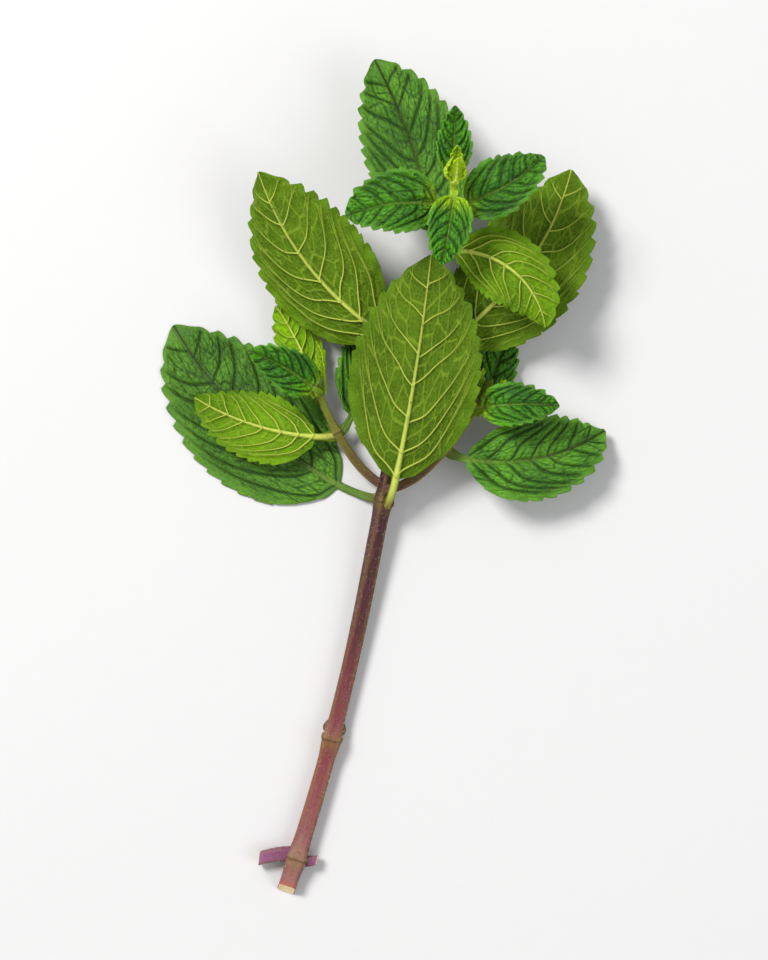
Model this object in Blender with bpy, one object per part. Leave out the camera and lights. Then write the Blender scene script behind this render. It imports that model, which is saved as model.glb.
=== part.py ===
"""A cut sprig of mint, lying on a table.

The stalk is square, as in all mints. It lies on one of its flat sides near the cut end, lifts off the
table and turns up at the tip. Leaves grow in opposite pairs, each pair a quarter turn round from the
one below, and two side shoots grow above the lowest leaves. Two cut stubs are left near the cut end.
Lengths are in millimetres and angles in degrees until a mesh is made, which is in metres.

Axes: +Y runs from the cut end towards the tip, +X is to the right seen from above, +Z is up.
A heading is measured from +Y towards +X, and a climb from the table upwards.
"""

import math
from collections import namedtuple

import bmesh
import bpy
import numpy as np
from mathutils import Matrix

MM = 0.001
GAP = 0.35  # left between a leaf or shoot and what it grows from

SHARP_ANGLE = 40

STEM_COLOUR = (0.22, 0.10, 0.07)
SHOOT_COLOUR = (0.20, 0.24, 0.05)
YOUNG_LEAF, OLD_LEAF = (0.16, 0.30, 0.02), (0.06, 0.16, 0.03)
STALK_ROUGHNESS, LEAF_ROUGHNESS = 0.5, 0.55

# Azimuths round a stalk, before its roll
RIGHT, FRONT, LEFT, BACK = 0, 90, 180, 270

# bends: (distance from the foot, heading, climb, roll). widths: (distance, width across the flats)
# place: the stalk that carries it, the node and azimuth there, and how far above the node it starts.
Stalk = namedtuple("Stalk", "place bends widths nodes")
STEM_START = (-18.59, -77.5)
STEM_LYING = 36.0  # the stretch whose underside is flat on the table
STALKS = {
    "stem": Stalk(
        None,
        ((0, 19, 0, 0), (36, 14, 0, 0), (44, 13, 1.6, 0), (60, 11, 5, 14), (76, 11, 8, 30),
         (106, 14, 8, 28), (121, 15, 20, 18), (136, 8, 50, 8), (146, 2, 62, 0)),
        ((0, 3.4), (36, 3.1), (76, 2.7), (106, 2.3), (125, 1.8), (136, 1.3), (141, 0.9), (142.4, 1.1),
         (143.8, 0.9), (145, 0.5)),
        {0: 6.8, 1: 30.0, 2: 76.0, 3: 105.0, 4: 124.0, 5: 134.0, 6: 138.8, 7: 141.6},
    ),
    "left_stub": Stalk(
        ("stem", 0, LEFT, 0.3),
        ((0, -92, -2, 0), (5.6, -112, -2, 0)),
        ((0, 2.7), (5.6, 2.3)),
        {},
    ),
    "right_stub": Stalk(
        ("stem", 0, RIGHT, 0.3),
        ((0, 84, 6, 0), (2.0, 74, 6, 0)),
        ((0, 1.9), (2.0, 1.6)),
        {},
    ),
    "left_shoot": Stalk(
        ("stem", 2, BACK, 2.8),
        ((0, -58, -4, 0), (8, -34, 6, 0), (20, -22, 12, 0), (28, -14, 26, 0)),
        ((0, 1.8), (14, 1.6), (22, 1.3), (24.4, 1.1), (26.0, 1.8), (27.6, 1.3), (28.6, 0.5)),
        {1: 13.0, 2: 21.5},
    ),
    "right_shoot": Stalk(
        ("stem", 2, FRONT, 2.8),
        ((0, 76, 12, 0), (8, 46, 0, 0), (20, 34, 3, 0), (28, 28, 14, 0)),
        ((0, 1.8), (14, 1.6), (22, 1.3), (24.4, 1.1), (26.0, 1.8), (27.6, 1.3), (28.6, 0.5)),
        {1: 13.0, 2: 22.0},
    ),
}
NODE_SWELL = 0.18  # share by which a node is thicker than the stalk beside it
NODE_REACH = 1.5  # how far from its middle a node swells, in widths of the stalk
CORNER_CUT = 0.34  # chamfer of the square, as a share of its half width
RING_SPACING = 7.5
CUT_SLANT = 0.5  # slope of the cut end, whose face looks partly up
BUDS = ((1, RIGHT), (1, LEFT), (3, RIGHT), (3, LEFT))  # node and azimuth of the resting buds
BUD_LIFT = 2.4  # how far above its node a bud sits
BUD_SIZE = (0.85, 0.75, 1.3)  # half its width, depth and length
BUD_DEPTH = 0.9  # how far its middle is from the stalk's axis, in half widths of the stalk

# Roll 0 shows a leaf's upper face to someone looking down, and 180 its underside. Headings, climbs and
# rolls are given at the foot of the petiole and the tip, or at the foot, the blade's base and the tip.
Leaf = namedtuple("Leaf", "on node azimuth petiole length width heading climb roll fold cup teeth")
LEAVES = {
    "leaf_2_front": Leaf("stem", 2, FRONT, 6.5, 42, 24.5, (22, 12, 6), (60, 18, -2), (182, 176), 10, 0.1, 13),
    "leaf_2_back": Leaf("stem", 2, BACK, 8.5, 44, 25.0, (-80, -62, -30), (-36, -6, 0), (-4, 4), 6, 0.05, 13),
    "leaf_3_right": Leaf("stem", 3, RIGHT, 5, 40, 22.0, (66, 58, 14), (0, 6, -8), (190, 168), 12, 0.12, 13),
    "leaf_3_left": Leaf("stem", 3, LEFT, 5, 39, 21.5, (-66, -58, -18), (24, 12, 2), (172, 150), 26, 0.12, 13),
    "leaf_4_front": Leaf("stem", 4, FRONT, 3, 24, 13.5, (50, 90, 170), (60, 22, -24), (166, 188), 14, 0.1, 11),
    "leaf_4_back": Leaf("stem", 4, BACK, 3.5, 34, 19.0, (-10, -28), (-10, 6), (4, -8), 10, 0.10, 12),
    "leaf_5_left": Leaf("stem", 5, LEFT, 1.8, 17, 12.5, (-80, -112), (26, -24), (8, 20), 20, 0.10, 8),
    "leaf_5_right": Leaf("stem", 5, RIGHT, 1.8, 17, 11.5, (76, 46), (30, -12), (-8, -22), 20, 0.10, 8),
    "leaf_6_front": Leaf("stem", 6, FRONT, 1.0, 13.0, 8.4, (186, 194), (30, -24), (0, 0), 14, 0.10, 6),
    "leaf_6_back": Leaf("stem", 6, BACK, 1.6, 12.5, 6.8, (0, 2), (0, 16), (0, 0), 18, 0.10, 6),
    "leaf_7_left": Leaf("stem", 7, LEFT, 1.8, 4.8, 2.6, (-71, 16, 38), (30, 60, 62), (80, 85, 90), 8, 0.10, 4),
    "leaf_7_right": Leaf("stem", 7, RIGHT, 1.8, 4.6, 2.6, (79, -8, -30), (30, 60, 62), (-80, -85, -90), 8, 0.10, 4),
    "left_shoot_leaf_1_left": Leaf(
        "left_shoot", 1, LEFT, 3, 24, 13.5, (-100, -86, -58), (10, 2, -6), (186, 190), 12, 0.1, 11),
    "left_shoot_leaf_1_right": Leaf(
        "left_shoot", 1, RIGHT, 3, 22, 12.0, (38, 22, 8), (4, -6, -4), (10, 0), 12, 0.1, 9),
    "left_shoot_leaf_2_front": Leaf(
        "left_shoot", 2, FRONT, 2, 15, 8.4, (-40, -50, -70), (64, 40, 0), (0, 0), 16, 0.1, 7),
    "left_shoot_leaf_2_back": Leaf(
        "left_shoot", 2, BACK, 2, 16, 8.6, (-24, -20, -34), (-40, -2, 10), (180, 180), 16, 0.1, 7),
    "right_shoot_leaf_1_right": Leaf(
        "right_shoot", 1, RIGHT, 3, 28, 16.0, (120, 100, 56), (0, 4, -24), (0, -6), 12, 0.1, 11),
    "right_shoot_leaf_1_left": Leaf(
        "right_shoot", 1, LEFT, 3, 20, 12.0, (-40, -10, 16), (-10, -30, -14), (0, 0), 12, 0.1, 9),
    "right_shoot_leaf_2_front": Leaf(
        "right_shoot", 2, FRONT, 2, 15, 8.4, (60, 80, 98), (64, 34, -8), (0, 0), 16, 0.1, 7),
    "right_shoot_leaf_2_back": Leaf(
        "right_shoot", 2, BACK, 2, 16, 8.6, (34, 30, 16), (-60, -30, -8), (0, 0), 16, 0.1, 7),
}


def direction(heading, climb):
    """The unit vector with this heading and climb."""
    h, c = np.radians(heading), np.radians(climb)
    return np.stack([np.sin(h) * np.cos(c), np.cos(h) * np.cos(c), np.sin(c)], axis=-1)


class Path:
    """A curve in space, walked from its start through (distance, heading, climb, roll) bends."""

    STEP = 0.25

    def __init__(self, start, bends):
        self.bends = np.array(bends, float).T
        self.length = self.bends[0, -1]
        count = int(math.ceil(self.length / self.STEP)) + 1
        self.distances = np.linspace(0, self.length, count)
        ways = direction(self.turn(1, self.distances), self.turn(2, self.distances))
        steps = (ways[1:] + ways[:-1]) / 2 * (self.distances[1] - self.distances[0])
        self.points = np.array(start, float) + np.vstack([np.zeros(3), np.cumsum(steps, axis=0)])

    def turn(self, row, distance):
        return np.interp(distance, self.bends[0], self.bends[row])

    def point(self, distance):
        return np.array([np.interp(distance, self.distances, self.points[:, k]) for k in range(3)])

    def frame(self, distance):
        """Tangent, side and normal. With no roll the side points right and the normal up."""
        tangent = direction(self.turn(1, distance), self.turn(2, distance))
        up = np.array([0, 0, 1]) - tangent * tangent[2]
        up /= np.linalg.norm(up)
        side = np.cross(tangent, up)
        roll = math.radians(self.turn(3, distance))
        normal = up * math.cos(roll) + side * math.sin(roll)
        side = side * math.cos(roll) - up * math.sin(roll)
        return tangent, side, normal


def new_object(name, vertices, faces, foot, parent=None):
    """A closed mesh from points in millimetres, facing outwards, with its origin at its foot."""
    mesh = bpy.data.meshes.new(name)
    mesh.from_pydata([tuple((v - foot) * MM) for v in vertices], [], faces)
    bm = bmesh.new()
    bm.from_mesh(mesh)
    bmesh.ops.recalc_face_normals(bm, faces=bm.faces)
    if bm.calc_volume(signed=True) < 0:
        bmesh.ops.reverse_faces(bm, faces=bm.faces)
    bm.to_mesh(mesh)
    bm.free()
    mesh.shade_smooth()
    mesh.set_sharp_from_angle(angle=math.radians(SHARP_ANGLE))
    obj = bpy.data.objects.new(name, mesh)
    bpy.context.scene.collection.objects.link(obj)
    obj.location = foot * MM
    if parent:
        obj.parent = parent
        obj.location -= parent.matrix_world.translation
    bpy.context.view_layer.update()
    return obj


def paint(obj, colour, roughness):
    """Gives a piece its own material."""
    material = bpy.data.materials.new(obj.name + "_skin")
    material.use_nodes = True
    shader = material.node_tree.nodes["Principled BSDF"]
    shader.inputs["Base Color"].default_value = (*colour, 1)
    shader.inputs["Roughness"].default_value = roughness
    shader.inputs["Metallic"].default_value = 0.0
    material.diffuse_color = (*colour, 1)
    obj.data.materials.append(material)


def trim_foot(points, way, outward, plane):
    """Slides points along the way until they lie on the plane, flush with the side of a stalk."""
    return [p + way * (plane - outward @ p) / (outward @ way) for p in points]


# Stalks


class StalkShape:
    """A stalk laid out in space, which knows where things grow on it."""

    def __init__(self, stalk, seat):
        self.stalk = stalk
        self.seat = seat
        self.lying = 0.0 if seat else STEM_LYING
        self.foot = seat[0] + seat[1] * (seat[2] + GAP) if seat else np.array([*STEM_START, 0])
        self.path = Path(self.foot, stalk.bends)

    def half(self, distance):
        """Half the width across the flats, with the nodes' swelling."""
        stations, widths = zip(*self.stalk.widths)
        half = np.interp(distance, stations, widths) / 2
        reach = NODE_REACH * half
        for place in self.stalk.nodes.values():
            half *= 1 + NODE_SWELL * math.exp(-(((distance - place) / reach) ** 2))
        return half

    def centre(self, distance):
        """A point on the axis. A stalk that lies flat is half its width above the table."""
        point = self.path.point(distance)
        if self.lying:
            point[2] += self.half(min(distance, self.lying))
        return point

    def seat_at(self, node, azimuth, above=0.0):
        """Centre, outward direction and half width where a leaf or shoot grows."""
        place = self.stalk.nodes[node] + above
        _, side, normal = self.path.frame(place)
        turn = math.radians(azimuth)
        return self.centre(place), side * math.cos(turn) + normal * math.sin(turn), self.half(place)

    def stations(self):
        """Distances of the rings: even ones, those of the widths, and some round each node."""
        top = self.stalk.widths[-1][0]
        stations = set(np.arange(0, top, RING_SPACING)) | {s for s, _ in self.stalk.widths}
        for place in self.stalk.nodes.values():
            reach = NODE_REACH * self.half(place)
            stations |= {place + k * reach for k in (-1.6, -0.7, 0, 0.7, 1.6)}
        kept = [0.0]
        for s in sorted(stations):
            if kept[-1] + 0.6 < s < top - 0.4:
                kept.append(s)
        return kept + [top]

    def rings(self):
        flat = 1 - CORNER_CUT
        corners = [(1, -flat), (1, flat), (flat, 1), (-flat, 1)]
        corners += [(-x, -y) for x, y in corners]
        rings = []
        for s in self.stations():
            _, side, normal = self.path.frame(s)
            centre, half = self.centre(s), self.half(s)
            rings.append([centre + half * (x * side + y * normal) for x, y in corners])
        way, _, normal = self.path.frame(0)
        if self.seat:
            rings[0] = trim_foot(rings[0], way, self.seat[1], self.seat[1] @ self.foot)
        else:
            rings[0] = [p + way * CUT_SLANT * (normal @ (p - self.foot)) for p in rings[0]]
        return rings


def sweep(rings):
    """Vertices and faces of a closed body through rings of equal length."""
    size = len(rings[0])
    vertices = [point for ring in rings for point in ring]
    faces = [tuple(range(size)), tuple(reversed(range(len(vertices) - size, len(vertices))))]
    for i in range(len(rings) - 1):
        for j in range(size):
            a, b = i * size + j, i * size + (j + 1) % size
            faces.append((a, a + size, b + size, b))
    return vertices, faces


def fuse_buds(stem, shape):
    """Sinks the resting buds into the stem, above the nodes that they belong to."""
    buds = bpy.data.collections.new("buds")
    for node, azimuth in BUDS:
        centre, outward, half = shape.seat_at(node, azimuth, BUD_LIFT)
        way = shape.path.frame(shape.stalk.nodes[node] + BUD_LIFT)[0]
        axes = np.column_stack([np.cross(outward, way), outward, way]) * np.array(BUD_SIZE) * MM
        place = Matrix(axes.tolist()).to_4x4()
        place.translation = (centre + outward * half * BUD_DEPTH) * MM
        bm = bmesh.new()
        bmesh.ops.create_uvsphere(bm, u_segments=8, v_segments=6, radius=1, matrix=place)
        mesh = bpy.data.meshes.new("bud")
        bm.to_mesh(mesh)
        bm.free()
        buds.objects.link(bpy.data.objects.new("bud", mesh))
    union = stem.modifiers.new("buds", "BOOLEAN")
    union.operation = "UNION"
    union.solver = "EXACT"
    union.operand_type = "COLLECTION"
    union.collection = buds
    fused = bpy.data.meshes.new_from_object(stem.evaluated_get(bpy.context.evaluated_depsgraph_get()))
    stem.modifiers.remove(union)
    stem.data = fused
    for bud in list(buds.objects):
        bpy.data.objects.remove(bud)
    bpy.data.collections.remove(buds)


# Leaves

BASE_FULLNESS = (0.30, 0.60)  # how slowly the youngest and the full-grown blades widen from their base
TIP_FULLNESS = 0.76  # how slowly a blade narrows to its tip
TEETH_FROM, TEETH_TO = 0.05, 0.96  # the toothed stretch, as shares of the blade's length
TOOTH_DEPTH = 0.85
TOOTH_PEAK = 0.55  # where a tooth is widest, as a share of the teeth's spacing
TOOTH_LEAN = 0.32  # how far a tooth points towards the tip, as a share of that spacing
PETIOLE_WIDTH = 1.5
MIDRIB_THICK = (1.4, 0.8)  # at the foot and at the tip
BLADE_THICK = 0.66
BLADE_START, BLADE_END = 0.02, 0.992  # first and last rows, as shares of the blade's length
TIP_WIDTH = 0.7
WAVE_HEIGHT = 0.7
FULL_SIZE = 30.0  # shorter leaves have finer teeth, waves and petioles
ACROSS = (-1, -0.55, 0, 0.55, 1)


def blade_outline(leaf, share):
    """Half width at this share of the blade's length, as a share of the largest half width."""
    p, q = np.interp(leaf.length, (0, FULL_SIZE), BASE_FULLNESS), TIP_FULLNESS
    widest = p / (p + q)
    return (share / widest) ** p * ((1 - share) / (1 - widest)) ** q


def leaf_rows(leaf, size):
    """(distance from the foot, half width, lean of the tooth, share of the blade's length)."""
    pitch = (TEETH_TO - TEETH_FROM) / leaf.teeth
    rows = [(s * leaf.petiole, PETIOLE_WIDTH / 2 * size, 0.0, 0.0) for s in (0.0, 0.5, 1.0)]
    places = [(BLADE_START, 0.0, 0.0)]
    for k in range(leaf.teeth):
        notch = TEETH_FROM + k * pitch
        places += [(notch, 1.0, 0.0), (notch + TOOTH_PEAK * pitch, 0.0, TOOTH_LEAN * pitch)]
    places.append((BLADE_END, 0.0, 0.0))
    for share, notch, lean in places:
        half = leaf.width / 2 * blade_outline(leaf, share)
        half -= notch * min(TOOTH_DEPTH * size, 0.35 * half)
        rows.append((leaf.petiole + share * leaf.length, max(half, TIP_WIDTH / 2), lean * leaf.length, share))
    return rows


def leaf_grid(leaf, path):
    """Upper and lower points of the leaf, row by row from the foot of its petiole to its tip."""
    phase = 1.7 * leaf.node + leaf.azimuth / 60 + leaf.length
    size = 0.45 + 0.55 * min(1.0, leaf.length / FULL_SIZE)
    rows = leaf_rows(leaf, size)
    upper, lower = [], []
    for distance, half, lean, share in rows:
        middle = np.interp(distance / path.length, (0, 1), MIDRIB_THICK) * size
        for v in ACROSS:
            s = min(distance + lean * v * v, path.length)
            _, side, normal = path.frame(s)
            x = v * half
            rise = abs(x) * math.tan(math.radians(leaf.fold)) - leaf.cup * x * x / (leaf.width / 2)
            wave = math.sin(9 * share + 2.2 * v + phase) * v * v * min(1, 4 * share)
            rise += WAVE_HEIGHT * (2 * size - 1) * wave
            thick = BLADE_THICK + max(0, middle - BLADE_THICK) * (1 - abs(v)) ** 2
            centre = path.point(s) + x * side + rise * normal
            pair = [centre + normal * thick / 2, centre - normal * thick / 2]
            pressed = max(0.0, -min(p[2] for p in pair))
            upper.append(pair[0] + (0, 0, pressed))
            lower.append(pair[1] + (0, 0, pressed))
    return upper, lower, len(rows)


def leaf_faces(rows):
    """Triangles split alike on both faces, with a rim between them."""
    across, below = len(ACROSS), rows * len(ACROSS)
    faces = []
    for i in range(rows - 1):
        for j in range(across - 1):
            a, b = i * across + j, i * across + j + 1
            c, d = a + across, b + across
            split = ((a, b, c), (b, d, c)) if j < across // 2 else ((a, b, d), (a, d, c))
            for x, y, z in split:
                faces += [(x, y, z), (x + below, z + below, y + below)]
        for a in (i * across, i * across + across - 1):
            faces += [(a, a + across, a + across + below), (a, a + across + below, a + below)]
    for start in (0, (rows - 1) * across):
        for a in range(start, start + across - 1):
            faces += [(a, a + 1, a + 1 + below), (a, a + 1 + below, a + below)]
    return faces


def make_leaf(name, leaf, seat, parent):
    centre, outward, half = seat
    foot = centre + outward * (half + GAP)
    turns = [leaf.heading, leaf.climb, leaf.roll]
    marks = (0, leaf.petiole, leaf.petiole + leaf.length)
    columns = [np.interp(marks, marks if len(t) == 3 else marks[::2], t) for t in turns]
    path = Path(foot, tuple(zip(marks, *columns)))
    upper, lower, rows = leaf_grid(leaf, path)
    way, across = path.frame(0)[0], len(ACROSS)
    for points in (upper, lower):
        points[:across] = trim_foot(points[:across], way, outward, outward @ foot)
    return new_object(name, upper + lower, leaf_faces(rows), foot, parent)


def leaf_colour(leaf):
    """Young leaves are short and yellow-green, and old ones are long and dark."""
    age = min(1.0, leaf.length / FULL_SIZE)
    return [young + age * (old - young) for young, old in zip(YOUNG_LEAF, OLD_LEAF)]


def main():
    for obj in list(bpy.data.objects):
        bpy.data.objects.remove(obj)
    shapes, stalks = {}, {}
    for name, stalk in STALKS.items():
        parent, *place = stalk.place or (None,)
        shapes[name] = StalkShape(stalk, shapes[parent].seat_at(*place) if parent else None)
        stalks[name] = new_object(name, *sweep(shapes[name].rings()), shapes[name].foot, stalks.get(parent))
        paint(stalks[name], SHOOT_COLOUR if parent else STEM_COLOUR, STALK_ROUGHNESS)
    fuse_buds(stalks["stem"], shapes["stem"])
    for name, leaf in LEAVES.items():
        seat = shapes[leaf.on].seat_at(leaf.node, leaf.azimuth)
        paint(make_leaf(name, leaf, seat, stalks[leaf.on]), leaf_colour(leaf), LEAF_ROUGHNESS)


main()
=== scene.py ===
# A cut sprig of mint lying on a pale table, seen from straight above.
# +Y runs from the cut end to the tip, +X is to the right and +Z is up. Sizes are in millimetres and
# angles in degrees until a mesh is made. A heading turns from +Y to +X, and a climb from the table up.

import math

import bmesh
import bpy
import numpy as np
from mathutils import Matrix, Vector


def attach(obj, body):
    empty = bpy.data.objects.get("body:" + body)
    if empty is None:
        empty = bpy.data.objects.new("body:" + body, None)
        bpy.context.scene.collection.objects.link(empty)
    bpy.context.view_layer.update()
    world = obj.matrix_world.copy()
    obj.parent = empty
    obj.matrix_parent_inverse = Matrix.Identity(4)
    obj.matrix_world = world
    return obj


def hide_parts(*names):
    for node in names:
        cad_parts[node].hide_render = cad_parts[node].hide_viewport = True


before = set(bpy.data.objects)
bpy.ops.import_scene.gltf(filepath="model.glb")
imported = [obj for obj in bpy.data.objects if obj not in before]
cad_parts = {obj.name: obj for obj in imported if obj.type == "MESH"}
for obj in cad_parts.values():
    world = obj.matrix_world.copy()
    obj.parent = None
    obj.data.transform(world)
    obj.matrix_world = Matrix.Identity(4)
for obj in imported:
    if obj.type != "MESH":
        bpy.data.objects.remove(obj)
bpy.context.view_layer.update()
scene = bpy.context.scene
mm = 0.001
print("frame loaded:", len(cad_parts), "nodes")


# Small helpers

def smooth(low, high, value):
    t = np.clip((value - low) / (high - low), 0, 1)
    return t * t * (3 - 2 * t)


def linearColour(red, green, blue):
    # from the 0 to 255 of a screen colour to what a shader takes
    parts = [c / 255 for c in (red, green, blue)]
    return (*[c / 12.92 if c < 0.04 else ((c + 0.055) / 1.055) ** 2.4 for c in parts], 1.0)


def addNode(tree, kind, inputs=None, **settings):
    node = tree.nodes.new(kind)
    for key, value in settings.items():
        setattr(node, key, value)
    for key, value in (inputs or {}).items():
        if isinstance(value, bpy.types.NodeSocket):
            tree.links.new(value, node.inputs[key])
        else:
            node.inputs[key].default_value = value
    return node


def calc(tree, operation, first, second=0.0, third=0.0):
    inputs = {0: first, 1: second, 2: third}
    return addNode(tree, "ShaderNodeMath", inputs, operation=operation).outputs[0]


def ramp(tree, value, low, high, toLow=0.0, toHigh=1.0):
    inputs = {"Value": value, "From Min": low, "From Max": high, "To Min": toLow, "To Max": toHigh}
    return addNode(tree, "ShaderNodeMapRange", inputs, interpolation_type="SMOOTHSTEP").outputs[0]


def mixColour(tree, share, first, second, blend="MIX"):
    node = addNode(tree, "ShaderNodeMix", data_type="RGBA", blend_type=blend)
    for socket, value in ((node.inputs[0], share), (node.inputs[6], first), (node.inputs[7], second)):
        if isinstance(value, bpy.types.NodeSocket):
            tree.links.new(value, socket)
        else:
            socket.default_value = value
    return node.outputs[2]


def newGroup(name, kind, inputs, outputs):
    tree = bpy.data.node_groups.new(name, kind)
    for socketName, socketType, value in inputs:
        socket = tree.interface.new_socket(name=socketName, in_out="INPUT", socket_type=socketType)
        if value is not None:
            socket.default_value = value
    for socketName, socketType in outputs:
        tree.interface.new_socket(name=socketName, in_out="OUTPUT", socket_type=socketType)
    return tree, tree.nodes.new("NodeGroupInput").outputs, tree.nodes.new("NodeGroupOutput").inputs


def readMark(tree, name):
    # a mark is three numbers kept at each point of a mesh
    mark = addNode(tree, "ShaderNodeAttribute", attribute_name=name)
    split = addNode(tree, "ShaderNodeSeparateXYZ", {0: mark.outputs["Vector"]})
    return mark.outputs["Vector"], split.outputs[0], split.outputs[1], split.outputs[2]


def newMaterial(name):
    material = bpy.data.materials.new(name)
    material.use_nodes = True
    return material, material.node_tree, material.node_tree.nodes["Principled BSDF"]


# Shader groups

def makeVeinLines():
    # lines where the phase is a whole number, and a fine net between them
    tree, given, result = newGroup(
        "veinLines", "ShaderNodeTree",
        [("Phase", "NodeSocketFloat", 0.0), ("Spacing", "NodeSocketFloat", 6.0), ("Width", "NodeSocketFloat", 0.3),
         ("Place", "NodeSocketVector", None), ("Net Scale", "NodeSocketFloat", 1.5)],
        [("Side Veins", "NodeSocketFloat"), ("Shoulder", "NodeSocketFloat"), ("Areoles", "NodeSocketFloat")])
    part = calc(tree, "FRACT", calc(tree, "ADD", given["Phase"], 100.5))
    away = calc(tree, "MULTIPLY", calc(tree, "ABSOLUTE", calc(tree, "SUBTRACT", part, 0.5)), given["Spacing"])
    near = calc(tree, "DIVIDE", away, given["Width"])
    shown = ramp(tree, given["Phase"], 1.4, 1.8)
    # Shoulder is a wide band either side of each vein; on the upper face it carries painted shade in the vein valleys
    for low, high, name in ((0.25, 0.75, "Side Veins"), (0.4, 2.6, "Shoulder")):
        tree.links.new(calc(tree, "MULTIPLY", ramp(tree, near, low, high, 1.0, 0.0), shown), result[name])
    wander = addNode(tree, "ShaderNodeTexNoise", {"Vector": given["Place"], "Scale": 0.8, "Detail": 2.0})
    bent = addNode(tree, "ShaderNodeVectorMath", {0: given["Place"], 1: wander.outputs["Color"]}, operation="ADD")
    cells = addNode(tree, "ShaderNodeTexVoronoi", {"Vector": bent.outputs[0], "Scale": given["Net Scale"]},
                    feature="DISTANCE_TO_EDGE")
    tree.links.new(ramp(tree, cells.outputs["Distance"], 0.02, 0.2, 1.0, 0.0), result["Areoles"])
    return tree


def makeMottle():
    # broad clouds, small specks and a few dots, all from 0 to 1
    tree, given, result = newGroup(
        "mottle", "ShaderNodeTree",
        [("Place", "NodeSocketVector", None), ("Cloud Scale", "NodeSocketFloat", 0.12),
         ("Speck Scale", "NodeSocketFloat", 3.0), ("Dot Scale", "NodeSocketFloat", 1.1)],
        [("Clouds", "NodeSocketFloat"), ("Specks", "NodeSocketFloat"), ("Dots", "NodeSocketFloat")])
    clouds = addNode(tree, "ShaderNodeTexNoise",
                     {"Vector": given["Place"], "Scale": given["Cloud Scale"], "Detail": 3.0, "Roughness": 0.6})
    specks = addNode(tree, "ShaderNodeTexNoise",
                     {"Vector": given["Place"], "Scale": given["Speck Scale"], "Detail": 4.0, "Roughness": 0.7})
    tree.links.new(ramp(tree, clouds.outputs[0], 0.3, 0.7), result["Clouds"])
    tree.links.new(ramp(tree, specks.outputs[0], 0.3, 0.7), result["Specks"])
    dots = addNode(tree, "ShaderNodeTexVoronoi", {"Vector": given["Place"], "Scale": given["Dot Scale"]})
    chosen = addNode(tree, "ShaderNodeSeparateColor", {0: dots.outputs["Color"]})
    size = ramp(tree, chosen.outputs[0], 0.72, 1.0, 0.0, 0.22)
    inside = calc(tree, "SUBTRACT", size, dots.outputs["Distance"])
    tree.links.new(ramp(tree, inside, 0.0, 0.06), result["Dots"])
    return tree


veinLines = makeVeinLines()
mottle = makeMottle()


# Leaf materials: one for the upper face and one for the underside. Each leaf's own tone is a mark.

leafLook = {
    "leafUpper": {
        "old": (86, 136, 32), "oldDeep": (58, 104, 18), "young": (72, 140, 4), "youngDeep": (36, 92, 2),
        "rim": (92, 142, 18), "rimShare": 0.3, "tender": (160, 198, 8),
        # on the upper face the dark vein colour is the veins' own deeper green together with painted shade in their
        # impressed grooves, and valleyShare spreads it as painted shade down the valleys either side
        "vein": (26, 58, 14), "veinShare": 0.75, "veinWidth": 0.34, "valleyShare": 0.14,
        "crossShare": 0.5, "fineShare": 0.28, "areoleShare": 0.1,
        "rib": (112, 144, 48), "ribShare": 0.5, "ribFade": 0.1, "ribLine": 0.7, "ribLineColour": (44, 50, 26),
        "dry": (84, 54, 20), "blush": (90, 54, 34), "dot": (34, 56, 12), "dotShare": 0.25,
        "roughness": (0.46, 0.26), "bump": 0.9, "veinDepth": -0.6, "netDepth": -0.5, "glow": 0.1, "gloss": 0.3,
    },
    "leafUnder": {
        "old": (78, 108, 8), "oldDeep": (56, 84, 2), "young": (112, 158, 0), "youngDeep": (84, 128, 0),
        "rim": (98, 138, 20), "rimShare": 0.4, "tender": (164, 200, 8),
        # on the underside the veins are pale, and the negative valleyShare darkens a band along them towards the deep
        # green
        "vein": (146, 174, 56), "veinShare": 0.4, "veinWidth": 0.3, "valleyShare": -0.25,
        "crossShare": 0.27, "fineShare": 0.1, "areoleShare": 0.1,
        "rib": (188, 200, 88), "ribShare": 0.95, "ribFade": 0.55, "ribLine": 0.0, "ribLineColour": (44, 50, 26),
        "dry": (100, 74, 28), "blush": (106, 66, 44), "dot": (48, 62, 16), "dotShare": 0.6,
        "roughness": (0.66, 0.54), "bump": 0.6, "veinDepth": 0.6, "netDepth": 0.5, "glow": 0.12, "gloss": 0.1,
    },
}


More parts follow.
